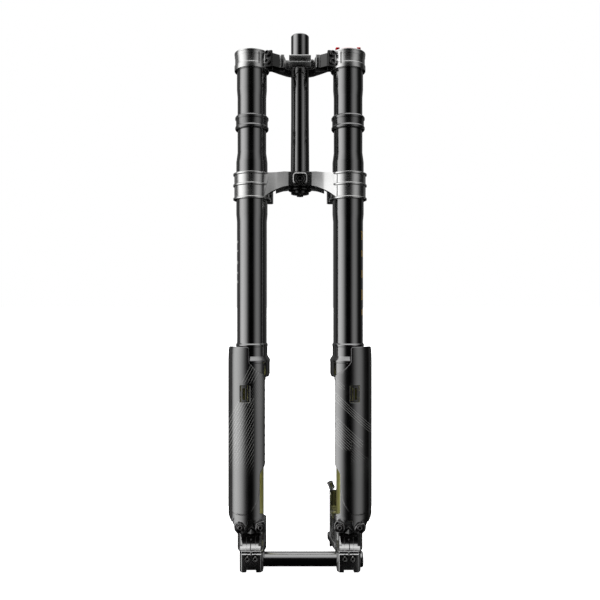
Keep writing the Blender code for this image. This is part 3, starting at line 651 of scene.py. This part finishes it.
def make_upper_crown(materials):
    plan = [(0, -21), (16.8, -21), (16.8, -18.8), (22.5, -18.8, 0.5), (22.8, -24, 2), (24.5, -34, 1)]
    plan += [(30, -34, 0.5)]
    plan += [(31.5, -33, 0.5), (41.5, -39.5, 3), (60, -41), (64, -10), (52, -4), (46, -8, 5), (34, 4, 14)]
    plan += [(22, 15, 8)]
    plan += [(12, 20, 6), (0, 21)]
    crown = prism("upper_crown_forging", rounded(mirrored(plan), steps=4), 163, 177.5, edge=0.9, limit=50)
    hub = [(0, 181), (19.5, 181, 0.6), (21.5, 179, 1.2), (21.5, 164, 1.2), (0, 164)]
    bar = [(-20, 181.3), (-30.4, 181.3, 0.4), (-31.4, 180.3, 0.4), (-31.4, 174.4, 0.3), (-29.6, 173.2, 0.2)]
    bar += [(-29.6, 172.6, 0.2), (-31.4, 170.6, 0.5), (-31.4, 165.2, 1), (-29.4, 162, 1), (-20, 162)]
    bar = prism("bar", rounded(bar), -17, 17, "YZ", edge=0.5, limit=50)
    join(crown, lathe("hub", rounded(hub, False)), bar)
    for side in SIDES.values():
        arm = [(24.5, -14), (24.5, -35, 1), (30, -35, 1), (31.5, -33.5, 0.5), (41.5, -40.6, 2), (52, -41)]
        arm += [(52, -15)]
        join(crown, prism("arm", rounded(sided(arm, side)), 160, 180, edge=0.8, limit=50))
        turn = math.radians(PINCH_TURN)
        across = (6.4 * math.cos(turn), 6.4 * math.sin(turn))
        ear = [(42, -30), (42, -44.5, 1), (PINCH_X - across[0], PINCH_Y - across[1], 1.2)]
        ear += [(PINCH_X + across[0], PINCH_Y + across[1], 1.5), (62, -40, 2), (62, -30)]
        ear_block = prism("ear", rounded(sided(ear, side)), 157.2, 182.4, edge=1.0, limit=50)
        beads = [(20, 183), (27.1, 183, 1.0), (27.1, 180.4, 0.4), (26.7, 180, 0.3), (26.7, 176, 0.5)]
        beads += [(26.1, 175.2, 0.4)]
        beads += [(26.1, 163.8, 0.4), (27.1, 163, 0.5), (27.1, 155, 1.0), (20, 155)]
        collar = lathe("collar", rounded(beads), at(side * LEG_X, LEG_Y), closed=True)
        join(crown, ear_block, collar)
        bore = rod("bore", 23.6, 240, 100, at(side * LEG_X, LEG_Y))
        slit = block("slit", (side * 50.2 - 5.9, -36.7, 120), (side * 50.2 + 5.9, -35.3, 220))
        groove = block("parting", (side * 62.4 - 0.8, -53, 160.5), (side * 62.4 + 0.8, -47.9, 178.5))
        cut(crown, bore, slit, groove)
        for level in PINCH_LEVELS:
            cut(crown, rod("hole", 2.9, 15, -15, pinch_seat(side, level), 32))
    pinch = rod("pinch", 2.9, 34, -14, at(0, -23.5, 172.5, (0, 90, 0)), 32)
    cut(crown, rod("steerer_bore", 14.6, 240, 100), pinch)
    place(crown, materials["upper_crown"], UPPER, "crown_aluminium", "upper_crown")


# Upper legs -----------------------------------------------------------------------------------


def make_outer_tube(word, materials):
    matrix = at_leg(word)
    outer = [(23.3, 183, 0.4), (23.3, 127, 8), (22.3, 115, 8), (22.3, 29, 8), (24.3, 14, 8), (24.3, -66.5, 8)]
    outer += [(23.25, -78.3, 8), (23.25, -266.5, 1), (24.8, -268.3, 0.5), (24.8, -271.2, 0.4)]
    outer += [(24.3, -272, 0.3), (24.3, -286, 1), (27.4, -291, 1), (28.3, -292.6, 0.5), (28.3, -295.6, 0.4)]
    outer += [(27.9, -296.4, 0.4), (27.9, -314, 1.0), (26.4, -318.7, 0.8)]
    inner = [(24.6, -318.7, 0.3), (24.6, -297), (20.6, -297), (20.6, 183, 0.4)]
    tube = lathe(f"{word}_upper_tube", rounded(outer + inner), matrix, 128, closed=True)
    place(tube, tube_material(word), UPPER, "black_tube", f"{word}_outer_tube")

    bumper = [(22.6, 85, 0.3), (24.6, 85, 0.6), (26, 83, 0.8), (26, 80.5, 0.8), (24.7, 78.6, 0.6)]
    bumper += [(24.7, 69.8, 0.6)]
    bumper += [(26, 68, 0.8), (26, 65.3, 0.8), (24.8, 63.5, 0.6), (22.6, 63.5, 0.3)]
    sleeve = lathe(f"{word}_bumper", rounded(bumper), matrix, 96, closed=True)
    place(sleeve, materials["rubber"], UPPER, "black_rubber", f"{word}_frame_bumper")

    wiper = [(18.8, -312), (24.3, -312), (24.3, -318.4), (21.5, -319.5, 0.4), (21.5, -324, 0.8)]
    wiper += [(19.6, -326, 0.5), (18.8, -322, 0.3)]
    made = lathe(f"{word}_wiper", rounded(wiper), matrix, 96, closed=True)
    place(made, materials["rubber"], UPPER, "black_rubber", f"{word}_dust_wiper")

    cap = [(0, 182.6), (9.5, 182.6), (10.5, 184.0), (11.5, 184.6), (21.6, 184.6), (22.3, 184.4), (22.6, 184.0)]
    cap += [(22.6, 183.3), (20.3, 183.3), (20.3, 158), (0, 158)]
    made = lathe(f"{word}_cap", cap, matrix, 96)
    for step in range(8):
        angle = math.radians(45 * step + 22.5)
        hole = at(LEG[word][0] + 17 * math.cos(angle), LEG[word][1] + 17 * math.sin(angle), 184.6)
        cut(made, rod("key", 1.8, 3, -2.4, hole, 24))
    place(made, materials["black_screw"], UPPER, "black_hardware", f"{word}_top_cap")


def make_top_fittings(materials):
    cap = [(0, 191.5, 0), (3.9, 191.5, 0.5), (4.6, 190.3, 0.6), (4.6, 184.9, 0.3), (0, 184.9)]
    valve = lathe("valve_cap", rounded(cap, False), at_leg("left"), 48)
    for step in range(10):
        angle = 36 * step
        groove = block("groove", (4.15, -0.45, 186.2), (6, 0.45, 193), at_leg("left", turn=(0, 0, angle)))
        cut(valve, groove)
    place(valve, materials["plain_plastic"], UPPER, "black_hardware", "air_valve_cap")

    plate = [(0, 186.6), (7, 186.6, 0.8), (9, 186, 0.8), (19.8, 186, 0.3), (20.3, 185.6, 0.2), (20.3, 184.9, 0.2)]
    dial = lathe("dial", rounded(plate + [(0, 184.9)], False), at_leg("right"))
    outline = [(13.4, -4, 1), (19.0, -4.6, 1.5), (19.9, 0, 6), (19.0, 4.6, 1.5), (13.4, 4, 1)]
    for sign in (1, -1):
        ear = prism("ear", rounded(sided(outline, sign)), 185.4, 193, matrix=at_leg("right"), edge=0.7, limit=50)
        join(dial, ear)
    place(dial, materials["red"], "compression_dial", "red_anodised", "compression_dial")


# Lower legs -----------------------------------------------------------------------------------

CLAMP_U = -3.0  # the axle clamp's middle sits this far to the wheel's side of the leg
CLAMP_SCREW_SPREAD = 5.9
CLAMP_SCREW_Z = -582.3
AXLE_Y = LEG_Y - 37
AXLE_Z = -588.5
CLAMP_SLOT_Z = -573.5
GUARD_SCREW_US = (-15.3, 15.3)
GUARD_SCREW_Z = -543
BRACKET_X = 47.8  # the brake mount's wheel side


def dropout_material_with_painted_shade():
    """Grey anodised, with painted shade on the nose, on the lip and in the hollow under them, and a painted shadow
    inside the brake mount.
    """
    material, tree, shader = new_material("dropout_painted_shade")
    shader.inputs["Metallic"].default_value = 1.0
    split = add_node(tree, "ShaderNodeSeparateXYZ", {0: object_place(tree)})
    aside = calc(tree, "SUBTRACT", calc(tree, "ABSOLUTE", split.outputs[0]), (LEG_X - 1.5) * MM)
    inside_web = ramp(tree, calc(tree, "ABSOLUTE", aside), 0.0135, 0.0125)
    high = ramp(tree, split.outputs[2], -0.5675, -0.5570, smooth=True)
    ahead = ramp(tree, split.outputs[1], (LEG_Y - 27) * MM, (LEG_Y - 28) * MM)
    # painted shade: the nose, the lip and the top of the neck are coloured dark, darkening upward, where they sit
    # in shade
    black = times(tree, inside_web, high, ahead)
    behind_leg = ramp(tree, split.outputs[1], -0.0035, -0.0030)
    past_edge = ramp(tree, aside, -0.0245, -0.0240)
    # painted shadow: the upper part of the brake mount behind the leg is coloured dark for the shadow in its pocket
    mount = times(tree, behind_leg, past_edge, ramp(tree, split.outputs[2], -0.5330, -0.5320))
    black = calc(tree, "MULTIPLY", calc(tree, "MAXIMUM", black, mount), 0.9)
    colour = (0.44, 0.44, 0.44)
    finish_surface(tree, shader, colour, 0.1, 0.25, 0.03, 0.02, 1200, marks=(black, (0.03, 0.03, 0.03)))
    return material


def make_stanchion(word, materials):
    profile = [(18.5, -80.0, 0.6), (18.5, -583.7), (16.3, -583.7), (16.3, -80.0, 0.4)]
    tube = lathe(f"{word}_inner_tube", rounded(profile), at_leg(word), 96, closed=True)
    place(tube, materials["gold"], LOWER, "stanchion_coating", f"{word}_stanchion")


def clamp_screw_x(word, row):
    return SIDES[word] * (LEG_X + CLAMP_U + row * CLAMP_SCREW_SPREAD)


def axle_screw_matrix(word, row):
    """The tilted axis that a clamp screw's shank follows behind its head."""
    tilt = math.radians(52)
    y = LEG_Y - 54.0 + 5.0 * math.cos(tilt)
    z = -583.0 + 5.0 * math.sin(tilt)
    return at(clamp_screw_x(word, row), y, z, (90 + 52, 0, 0))


def make_neck(side, matrix):
    """The web between the socket and the axle clamp, with a hollow foot, two ribs and a slit down its front."""
    front = [(-5, -553), (-42, -553), (-42.3, -558, 6), (-43.6, -563, 6), (-47, -567.2, 5), (-51, -569.4, 4)]
    front += [(-54.5, -570.4), (-54.5, -573)]
    neck = prism("neck", rounded(front + [(-5, -573)]), *sorted((-16.4 * side, 14 * side)), "YZ", matrix)
    corners = [(-16.4, 0), (-16.4, -41, 0.6), (-13, -44, 0.6), (-13, -60), (10.6, -60)]
    corners += [(10.6, -44, 0.6), (14, -41, 0.6), (14, 0)]
    flare = [(-20, -60), (-20, 0), (18, 0), (18, -60)]
    shape = prism("shape", rounded(sided(corners, side)), -566, -550, matrix=matrix)
    join(shape, prism("flare", sided(flare, side), -575, -565.9, matrix=matrix))
    intersect(neck, shape)
    for u in (-8.9, 4.6):
        rib = [(-30, -554), (-43.4, -554, 0.5), (-44, -560, 6), (-45.8, -564.5, 6), (-50, -568, 4), (-54.5, -569.8)]
        rib = rounded(rib + [(-54.5, -572), (-30, -572)])
        walls = sorted(((u - 0.5) * side, (u + 0.5) * side))
        join(neck, prism("rib", rib, *walls, "YZ", matrix, edge=0.2, limit=50))
    near, far = sorted((side * -2.1, side * -0.9))
    cut(neck, block("slit", (near, -60, -575), (far, -43.2, -561), matrix))
    pin = lathe("pin", rounded([(0, 1.2), (0.9, 1.2, 0.5), (1.4, 0.6, 0.4), (1.4, -4), (0, -4)], False),
                matrix @ at(side * -2.2, -43.2, -557.5, (60, 0, 0)), 24)
    join(neck, pin)
    return neck


def make_dropout(word, materials):
    """A foot: the socket for the stanchion, the neck, the axle clamp, the lug for the guard, and the screws."""
    side = SIDES[word]
    matrix = at_leg(word)
    profile = [(0, -552), (22.0, -552, 0.8), (22.5, -552.8, 0.4), (22.5, -586, 3), (18, -592, 2), (0, -592)]
    dropout = lathe(f"{word}_foot", rounded(profile, False), matrix)
    plan = [(-20.5, -8), (-20.5, -50, 1.2), (-17.2, -55, 1.2), (11.2, -55, 1.2), (14.5, -50, 1.2), (14.5, -8)]
    clamp = prism("clamp", rounded(sided(plan, side)), -601.4, -570, matrix=matrix, edge=0.8, limit=50)
    lug = [(-22, -8), (-22, -19.5, 2), (-17.3, -25.3, 2), (17.3, -25.3, 2), (22, -19.5, 2), (22, -8)]
    lug = prism("lug", rounded(sided(lug, side)), -556, -535, matrix=matrix, edge=0.8, limit=50)
    nose = [(-1.5, -25, -544), (-1.5, -34, -545), (-8, -33, -551), (5, -33, -551), (-1.5, -33, -555.5)]
    nose += [(-1.5, -38.5, -551.0), (-8, -25, -551), (5, -25, -551), (-1.5, -25, -555.5)]
    lip = [(-7, -30, -555), (-7, -40, -557.5), (4, -40, -557.5), (4, -30, -555), (-7, -30, -559), (4, -30, -559)]
    for part in (clamp, make_neck(side, matrix), lug):
        join(dropout, part)
    join(dropout, hull("nose", sided(nose, side), 0.3, matrix))
    join(dropout, hull("lip", sided(lip, side), 0.3, matrix))
    bore = [(0, 0), (18.8, 0), (18.8, -584), (5.3, -584), (5.3, -640), (0, -640)]
    axle = [(0, 60), (10.8, 60)]
    if side < 0:
        axle += [(10.8, 17), (9.3, 17), (9.3, -60)]
    else:
        axle += [(10.8, -60)]
    axle += [(0, -60)]
    slot_top = CLAMP_SLOT_Z + 1.6
    cutters = [
        lathe("bore", bore, matrix),
        lathe("axle_hole", axle, at(side * LEG_X, AXLE_Y, AXLE_Z, (0, 90, 0))),
        block("slot", (-40, -60, CLAMP_SLOT_Z), (40, -36, slot_top), matrix),
        block("split", (-40, -38, AXLE_Z), (40, -36, slot_top), matrix),
        block("rear", (-40, -20, -620), (40, 40, -592), matrix),
        prism("lip_edge", [(-56, -576), (-56, -572.4), (-52.5, -572.4)], -40, 40, "YZ", matrix),
    ]
    arch = [(CLAMP_U - 7.2, -620), (CLAMP_U - 7.2, -594.5, 1.5), (CLAMP_U - 5.5, -592.4, 1)]
    arch += [(CLAMP_U + 5.5, -592.4, 1), (CLAMP_U + 7.2, -594.5, 1.5), (CLAMP_U + 7.2, -620)]
    cutters.append(prism("arch", rounded(sided(arch, side)), -61, -46, "XZ", matrix))
    for row in (-1, 1):
        x = clamp_screw_x(word, row)
        cutters.append(rod("scoop", 4.1, 12, -6, at(x, -81, -579.8, (48, 0, 0)), 48))
        cutters.append(rod("pocket", 4.15, 5, -5.4, at(x, -81, CLAMP_SCREW_Z, (90, 0, 0)), 48))
        cutters.append(rod("screw_hole", 2.8, 3, -19, axle_screw_matrix(word, row), 32))
    for u in GUARD_SCREW_US:
        place_at = at(side * LEG_X + u, LEG_Y - 26, GUARD_SCREW_Z, (90, 0, 0))
        cutters.append(rod("guard_hole", 2.8, 10, -6, place_at, 32))
    for cutter in cutters:
        cut(dropout, cutter)
    tab = [(CLAMP_U - 1.2, -52), (CLAMP_U - 1.2, -56, 0.4), (CLAMP_U + 1.2, -56, 0.4), (CLAMP_U + 1.2, -52)]
    join(dropout, prism("tab", rounded(sided(tab, side)), -576.5, -570.6, matrix=matrix, edge=0.3, limit=50))
    if word == "right":
        add_brake_mount(dropout)
    place(dropout, materials["dropout"], LOWER, "dropout_aluminium", f"{word}_dropout")
    for row, end in ((-1, "inner"), (1, "outer")):
        node = f"{word}_axle_screw_{end}"
        head_at = at(clamp_screw_x(word, row), -76.0, CLAMP_SCREW_Z, (90, 0, 0))
        made = socket_screw(f"{node}_cap", head_at, 4.0, 3.6, 2.5, 0.2, 1.9, 0.6)
        join(made, rod("shank", 2.5, 2, -18, axle_screw_matrix(word, row), 32))
        place(made, materials["black_screw"], LOWER, "black_hardware", node)


def add_brake_mount(dropout):
    """Two calliper posts on a pocketed bracket behind the right leg."""
    side_view = [(-14, -584), (-14, -556, 3), (-8, -545, 4), (-4, -539, 3), (-4, -511, 1), (-1, -508, 1)]
    side_view += [(14, -508)]
    side_view += [(14, -598), (6, -598, 2), (-2, -590, 4)]
    lower = [(BRACKET_X, -540, 1), (50.5, -540, 1), (59, -553.5), (59, -584), (52, -590, 3), (BRACKET_X, -584, 2)]
    foot = [(44, 8, 3), (44, 0, 3), (53, -44), (55.7, -44), (55.7, -34), (55.2, -20), (58, -8), (58, 0), (52, 8)]
    back = [(BRACKET_X, 8), (60, 8, 1), (60, 14, 1), (BRACKET_X, 14, 1)]
    shelf = [(BRACKET_X, -3, 0.5), (60, -3, 1), (60, 10), (BRACKET_X, 10)]
    join(dropout, prism("bracket_lower", rounded(lower), -14, 2, "XZ", edge=0.5, limit=50))
    join(dropout, prism("bracket_foot", rounded(foot), -583, -574, edge=0.8, limit=50))
    join(dropout, prism("bracket_web", rounded(side_view), BRACKET_X, BRACKET_X + 1.9, "YZ", edge=0.5, limit=50))
    join(dropout, prism("bracket_back", rounded(back), -598, -508, edge=0.5, limit=50))
    join(dropout, prism("bracket_shelf", rounded(shelf), -540.5, -537.5, edge=0.4, limit=50))
    slot = [(51.2, -549, 0.5), (53.4, -549, 0.5), (53.4, -571, 0.5), (51.2, -571, 0.5)]
    cut(dropout, prism("bracket_slot", rounded(slot), -20, -6, "XZ"))
    for level in (-516.0, -590.0):
        seat = at(54, 11, level, (-90, 0, 0))
        post = rounded([(0, 11), (5.5, 11, 0.4), (6, 10.5, 0.4), (6, 0), (0, 0)], False)
        join(dropout, lathe("post", post, seat, 48))
        cut(dropout, rod("post_hole", 2.6, 30, -1, seat, 32))


def make_hose_guide(materials):
    profile = [(0, 8), (3.0, 8), (3.0, 11.7), (3.3, 12), (4.4, 12), (4.9, 11.5), (5, 10.8), (5.0, 9.4), (4.6, 9)]
    profile += [(4.6, 3), (5.0, 2.6), (5.0, 2), (4, 0), (0, 0)]
    guide = lathe("hose_clip", profile, at(52.6, 11, -505.6, (0, -23, 0)), 48)
    place(guide, materials["rubber"], LOWER, "black_rubber", "hose_guide")


def make_axle(materials):
    profile = [(6, 94.3, 0.3), (10.2, 94.3, 0.5), (11.6, 92.8, 0.8), (11.6, 89.8, 0.4), (10.5, 89.8)]
    profile += [(10.5, -57.7, 0.4)]
    profile += [(9, -58.2, 0.3), (9, -88.5, 0.5), (6, -88.5, 0.3)]
    axle = lathe("through_axle_bar", rounded(profile), at(0, AXLE_Y, AXLE_Z, (0, 90, 0)), 96, closed=True)
    place(axle, materials["axle"], "through_axle", "axle_black", "axle")


def make_rebound_knob(materials):
    profile = [(0, -595.4), (7, -595.4, 0.4), (7.6, -596.2, 0.4), (7.6, -600.2, 0.5), (6.8, -601, 0.4), (0, -601)]
    knob = lathe("rebound_dial", rounded(profile, False), at_leg("right"), 48)
    for step in range(12):
        turn = step * math.pi / 6
        flute_at = at(LEG_X + 7.9 * math.cos(turn), LEG_Y + 7.9 * math.sin(turn), -598)
        cut(knob, rod("flute", 0.7, 10, -10, flute_at, 16))
    place(knob, materials["red"], "rebound_knob", "red_anodised", "rebound_knob")


# Guards ---------------------------------------------------------------------------------------

GUARD_WALL = 2.2
GUARD_TOP = -271


def guard_radius(angle):
    """The outer radius; the angle runs in degrees from straight ahead towards the outside."""
    if angle < 0:
        return 34.0 + 1.0 * math.sin(math.radians(angle))
    return 34.0 + 2.9 * math.sin(math.radians(min(angle, 90))) ** 2


def guard_angle(u):
    """The angle whose point on the guard stands u to the outside of the leg, seen from the front."""
    low, high = -60.0, 90.0
    for _ in range(40):
        middle = (low + high) / 2
        if guard_radius(middle) * math.sin(math.radians(middle)) < u:
            low = middle
        else:
            high = middle
    return low


def spaced(points, gap):
    """The closed outline with points no further apart than the gap."""
    result = []
    for here, after in zip(points, points[1:] + points[:1]):
        count = max(1, math.ceil(math.dist(here, after) / gap))
        for step in range(count):
            share = step / count
            result.append((here[0] + (after[0] - here[0]) * share, here[1] + (after[1] - here[1]) * share))
    return result


def inside(point, outline):
    """True where the point is within the closed outline."""
    found = False
    for (ax, ay), (bx, by) in zip(outline, outline[1:] + outline[:1]):
        if (ay > point[1]) != (by > point[1]) and point[0] < ax + (point[1] - ay) / (by - ay) * (bx - ax):
            found = not found
    return found


def shell(name, side, outline, holes, outer, inner, top_z, angle_step=2.5, height_step=6.0, edge=0.5):
    """A curved wall that follows the guard; outlines are (angle, height), thickness from outer to inner."""
    def bent(angle, height, offset):
        radius = guard_radius(angle) + offset
        taper = max(0.0, (height - (top_z - 26)) / 26) if top_z else 0.0
        radius -= 1.1 * taper ** 2
        a = math.radians(angle)
        return (side * (LEG_X + radius * math.sin(a)), LEG_Y - radius * math.cos(a), height)

    points, edges = [], []
    for loop in (outline, *holes):
        first = len(points)
        points += [Vector(p) for p in loop]
        edges += [(first + i, first + (i + 1) % len(loop)) for i in range(len(loop))]
    rim_points = list(points)
    low = (min(p[0] for p in outline), min(p[1] for p in outline))
    high = (max(p[0] for p in outline), max(p[1] for p in outline))
    angle = low[0] + angle_step / 2
    while angle < high[0]:
        height = low[1] + height_step / 2
        while height < high[1]:
            spot = (angle, height)
            near = min(math.dist((p[0] * 0.6, p[1]), (angle * 0.6, height)) for p in rim_points)
            if near > 0.9 and inside(spot, outline) and not any(inside(spot, hole) for hole in holes):
                points.append(Vector(spot))
            height += height_step
        angle += angle_step
    verts, _, faces, *_ = delaunay_2d_cdt(points, edges, [], 0, 1e-5)
    mesh_data = bmesh.new()
    kept = []
    for face in faces:
        middle = (sum(verts[i].x for i in face) / len(face), sum(verts[i].y for i in face) / len(face))
        if inside(middle, outline) and not any(inside(middle, hole) for hole in holes):
            kept.append(face)
    front = [mesh_data.verts.new(bent(v.x, v.y, outer)) for v in verts]
    back = [mesh_data.verts.new(bent(v.x, v.y, -inner)) for v in verts]
    sides = {}
    for face in kept:
        mesh_data.faces.new([front[i] for i in face])
        mesh_data.faces.new([back[i] for i in reversed(face)])
        for i, j in zip(face, [*face[1:], face[0]]):
            key = (min(i, j), max(i, j))
            sides[key] = sides.get(key, 0) + 1
    rims = []
    for (i, j), count in sides.items():
        if count == 1:
            mesh_data.faces.new([front[i], front[j], back[j], back[i]])
            rims.append((front[i], front[j]))
    loose = [v for v in mesh_data.verts if not v.link_faces]
    bmesh.ops.delete(mesh_data, geom=loose, context="VERTS")
    bmesh.ops.recalc_face_normals(mesh_data, faces=mesh_data.faces)
    if edge:
        made = {frozenset(r) for r in rims}
        geom = [e for e in mesh_data.edges if frozenset(e.verts) in made]
        bmesh.ops.bevel(
            mesh_data, geom=geom, offset=edge, segments=3, profile=0.5, affect="EDGES", clamp_overlap=False
        )
    return to_object(name, mesh_data, sharp=40)


def wall_outline(front, gap=2.0):
    """A front view of the guard, drawn as (u, height), becomes (angle, height) around the leg."""
    outline = [(guard_angle(u), z) for u, z in spaced(rounded(front), gap)]
    return [(118.0 if angle > 84 else angle, z) for angle, z in outline]


def make_guard(word, materials):
    """A guard with its raised skin, bracket and pads, its screws, and the insert in its window."""
    side = SIDES[word]
    crest = [(36.4, -271, 5), (2.1, -271, 4), (2.1, -294.6, 7), (-8, -304.8, 12), (-22.2, -314, 7)]
    crest += [(-22.2, -451, 8)]
    crest += [(-14.7, -463, 10)]
    upper = crest + [(-14.7, -482, 10), (-11.2, -505.8, 20), (-1.7, -519.3, 20), (5.6, -524.8, 12)]
    upper += [(26.5, -525.5, 12)]
    upper += [(36.4, -519)]
    full = crest + [(-14.7, -524, 3), (-22.5, -528.5, 1), (-7, -532.2, 1), (3.9, -532.2, 1), (4.9, -541.7, 1)]
    full += [(27, -531.5, 2), (29.8, -539.5, 1), (36.4, -530.5, 1)]
    window = wall_outline([(0.6, -354.7, 1.2), (15.7, -354.7, 1.2), (15.7, -329.3, 1.2), (0.6, -329.3, 1.2)])
    full, upper = spaced(wall_outline(full), 3.0), spaced(wall_outline(upper), 3.0)
    guard = shell(f"{word}_leg_guard", side, full, [window], -0.4, GUARD_WALL, GUARD_TOP, edge=0.3)
    skin = shell("skin", side, upper, [window], 0.0, 1.4, GUARD_TOP, edge=0.7)
    foot = [(34.4, -523), (-14.7, -523), (-21.5, -526, 2), (-25.1, -529.5, 2), (-25.1, -546, 4), (-22, -550.6, 3)]
    foot += [(-9, -552.5, 3), (-6.5, -533), (4.2, -533), (8, -552.5, 3), (19.6, -552.5, 3), (25, -547.7, 3)]
    foot += [(27.4, -543.5, 2), (30.5, -538.5, 2), (34.4, -531)]
    bracket = shell("bracket", side, spaced(wall_outline(foot), 3.0), [], -1.7, GUARD_WALL + 0.3, None, edge=0.25)
    join(guard, skin)
    join(guard, bracket)
    outer = [(7, -546, 3), (9.5, -552.3, 3), (19.6, -552.3, 3), (24, -547.7, 3), (25, -541, 3)]
    outer += [(21, -536, 3), (9, -541, 2)]
    inner = [(-7, -546, 3), (-9.5, -552.3, 3), (-20.5, -550.5, 3), (-23.5, -546, 3), (-23.5, -538, 3)]
    inner += [(-20, -533, 2), (-8.5, -537, 2)]
    for pad in (outer, inner):
        join(guard, prism("pad", rounded(sided(pad, side)), -33, -28, "XZ", at_leg(word), edge=1.4, limit=50))
    for u in GUARD_SCREW_US:
        x = side * LEG_X + u
        cut(guard, rod("hole", 3, 15, -15, at(x, LEG_Y - 30, GUARD_SCREW_Z, (90, 0, 0)), 32))
        end = "outer" if u * side > 0 else "inner"
        node = f"{word}_guard_screw_{end}"
        screw = washer_screw(f"{node}_cap", at(x, LEG_Y - 33.3, GUARD_SCREW_Z, (90, 0, 0)), 6.0, 3.2)
        place(screw, materials["black_screw"], LOWER, "black_hardware", node)
    place(guard, guard_material(word), LOWER, "guard_plastic", f"{word}_guard")

    clip = [(2.2, -354), (24.2, -354), (24.2, -346.5), (26.2, -346.5), (26.2, -337.5), (24.2, -337.5), (24.2, -330)]
    clip += [(2.2, -330)]
    narrow = [(6.2, -352), (9.4, -352), (9.4, -332), (6.2, -332)]
    wide = [(13.5, -351), (20, -351), (20, -333), (13.5, -333)]
    slots = [spaced(slot, 2) for slot in (narrow, wide)]
    made = shell(f"{word}_clip", side, spaced(clip, 3), slots, -0.8, GUARD_WALL + 0.6, None, edge=0.2)
    place(made, materials["plain_plastic"], LOWER, "guard_plastic", f"{word}_guard_clip")


# Carried-over solids --------------------------------------------------------------------------

INNER_FINISHES = {
    "oil_seal": "rubber",
    "guide_bushing": "bronze",
    "slide_bushing": "bronze",
    "bottom_out_bumper": "rubber",
    "air_cylinder": "steel",
    "air_piston": "bronze",
    "air_piston_rod": "steel",
    "air_seal_head": "dark_metal",
    "damper_body": "steel",
    "damper_piston": "bronze",
    "damper_rod": "steel",
    "damper_seal_head": "dark_metal",
}


def finish_inner_nodes(materials):
    """The solids inside the legs stay as they are, with a finish each."""
    for name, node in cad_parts.items():
        if node.hide_render:
            continue
        key = name.removeprefix("left_").removeprefix("right_")
        node.data.materials.clear()
        node.data.materials.append(materials[INNER_FINISHES[key]])


# Stage, light and camera ----------------------------------------------------------------------

# Radiance against azimuth: zero is towards the camera and positive is towards +X.
SOFTBOXES = [
    (-180, 0.20), (-140, 0.18), (-120, 0.14), (-104, 0.08), (-98, 0.85), (-90, 1.55), (-77, 1.85), (-66, 1.75),
    (-56, 1.50), (-46, 1.12), (-39, 0.80), (-31, 0.34), (-22, 0.05), (-13, 0.0), (10, 0.0), (18, 0.05),
    (26, 0.24), (35, 0.46), (45, 0.58), (60, 0.44), (69, 0.20), (79, 0.03), (105, 0.0), (115, 0.05),
    (140, 0.16), (180, 0.20),
]
SOFTBOX_PEAK = 1.85


def make_world():
    world = bpy.data.worlds.new("studio")
    bpy.context.scene.world = world
    world.use_nodes = True
    tree = world.node_tree
    tree.nodes.clear()
    direction = add_node(tree, "ShaderNodeTexCoord").outputs["Generated"]
    split = add_node(tree, "ShaderNodeSeparateXYZ", {0: direction})
    azimuth = calc(tree, "ARCTAN2", split.outputs[0], calc(tree, "MULTIPLY", split.outputs[1], -1))
    share = ramp(tree, azimuth, -math.pi, math.pi)
    bands = add_node(tree, "ShaderNodeValToRGB", {0: share})
    stops = bands.color_ramp
    while len(stops.elements) > 1:
        stops.elements.remove(stops.elements[-1])
    for index, (angle, radiance) in enumerate(SOFTBOXES):
        position = (angle + 180) / 360
        stop = stops.elements[0] if index == 0 else stops.elements.new(position)
        stop.position = position
        level = radiance / SOFTBOX_PEAK
        stop.color = (level, level, level, 1)
    rise = split.outputs[2]
    below, above = ramp(tree, rise, -0.75, -0.5, smooth=True), ramp(tree, rise, 0.85, 0.6, smooth=True)
    strips = times(tree, bands.outputs[0], SOFTBOX_PEAK, times(tree, below, above))
    behind = ramp(tree, calc(tree, "ABSOLUTE", azimuth), math.radians(125), math.radians(150))
    shade = calc(tree, "MULTIPLY", behind, ramp(tree, rise, 0.05, -0.15))
    strips = calc(tree, "MULTIPLY", strips, calc(tree, "SUBTRACT", 1, shade))
    overhead = calc(tree, "MULTIPLY", ramp(tree, rise, 0.50, 0.92, smooth=True), 1.6)
    total = calc(tree, "ADD", calc(tree, "ADD", strips, overhead), 0.002)
    seen = add_node(tree, "ShaderNodeLightPath").outputs["Is Camera Ray"]
    strength = calc(tree, "ADD", calc(tree, "MULTIPLY", total, calc(tree, "SUBTRACT", 1, seen)), seen)
    back = add_node(tree, "ShaderNodeBackground", {"Color": (1, 1, 1, 1), "Strength": strength})
    out = add_node(tree, "ShaderNodeOutputWorld")
    tree.links.new(back.outputs[0], out.inputs[0])


def make_floor():
    """A glowing white floor that neither lights nor mirrors in the fork."""
    level = cad_box[0].z / MM - 0.2
    bpy.ops.mesh.primitive_plane_add(size=60, location=(0, 0, level * MM))
    floor = bpy.context.object
    floor.name = "floor"
    material = bpy.data.materials.new("pale_floor")
    material.use_nodes = True
    tree = material.node_tree
    shader = tree.nodes["Principled BSDF"]
    shader.inputs["Base Color"].default_value = (0.9, 0.9, 0.9, 1)
    shader.inputs["Roughness"].default_value = 0.9
    shader.inputs["Emission Color"].default_value = (1, 1, 1, 1)
    shader.inputs["Emission Strength"].default_value = 1.0
    floor.data.materials.append(material)
    floor.visible_glossy = False
    floor.visible_diffuse = False


def make_camera():
    data = bpy.data.cameras.new("camera")
    data.lens = 36.9
    data.sensor_width = 36
    camera = bpy.data.objects.new("camera", data)
    camera.location = (0.0, -0.986, -0.200)
    camera.rotation_euler = (math.radians(90), 0, 0)
    bpy.context.scene.collection.objects.link(camera)
    bpy.context.scene.camera = camera


def build():
    materials = make_materials()
    make_steerer(materials)
    make_lower_crown(materials)
    make_upper_crown(materials)
    make_crown_screws(materials)
    make_top_fittings(materials)
    for word in SIDES:
        make_outer_tube(word, materials)
        make_stanchion(word, materials)
        make_dropout(word, materials)
        make_guard(word, materials)
    make_hose_guide(materials)
    make_axle(materials)
    make_rebound_knob(materials)
    finish_inner_nodes(materials)
    make_world()
    make_floor()
    make_camera()
    bpy.context.scene.view_settings.view_transform = "Standard"


build()
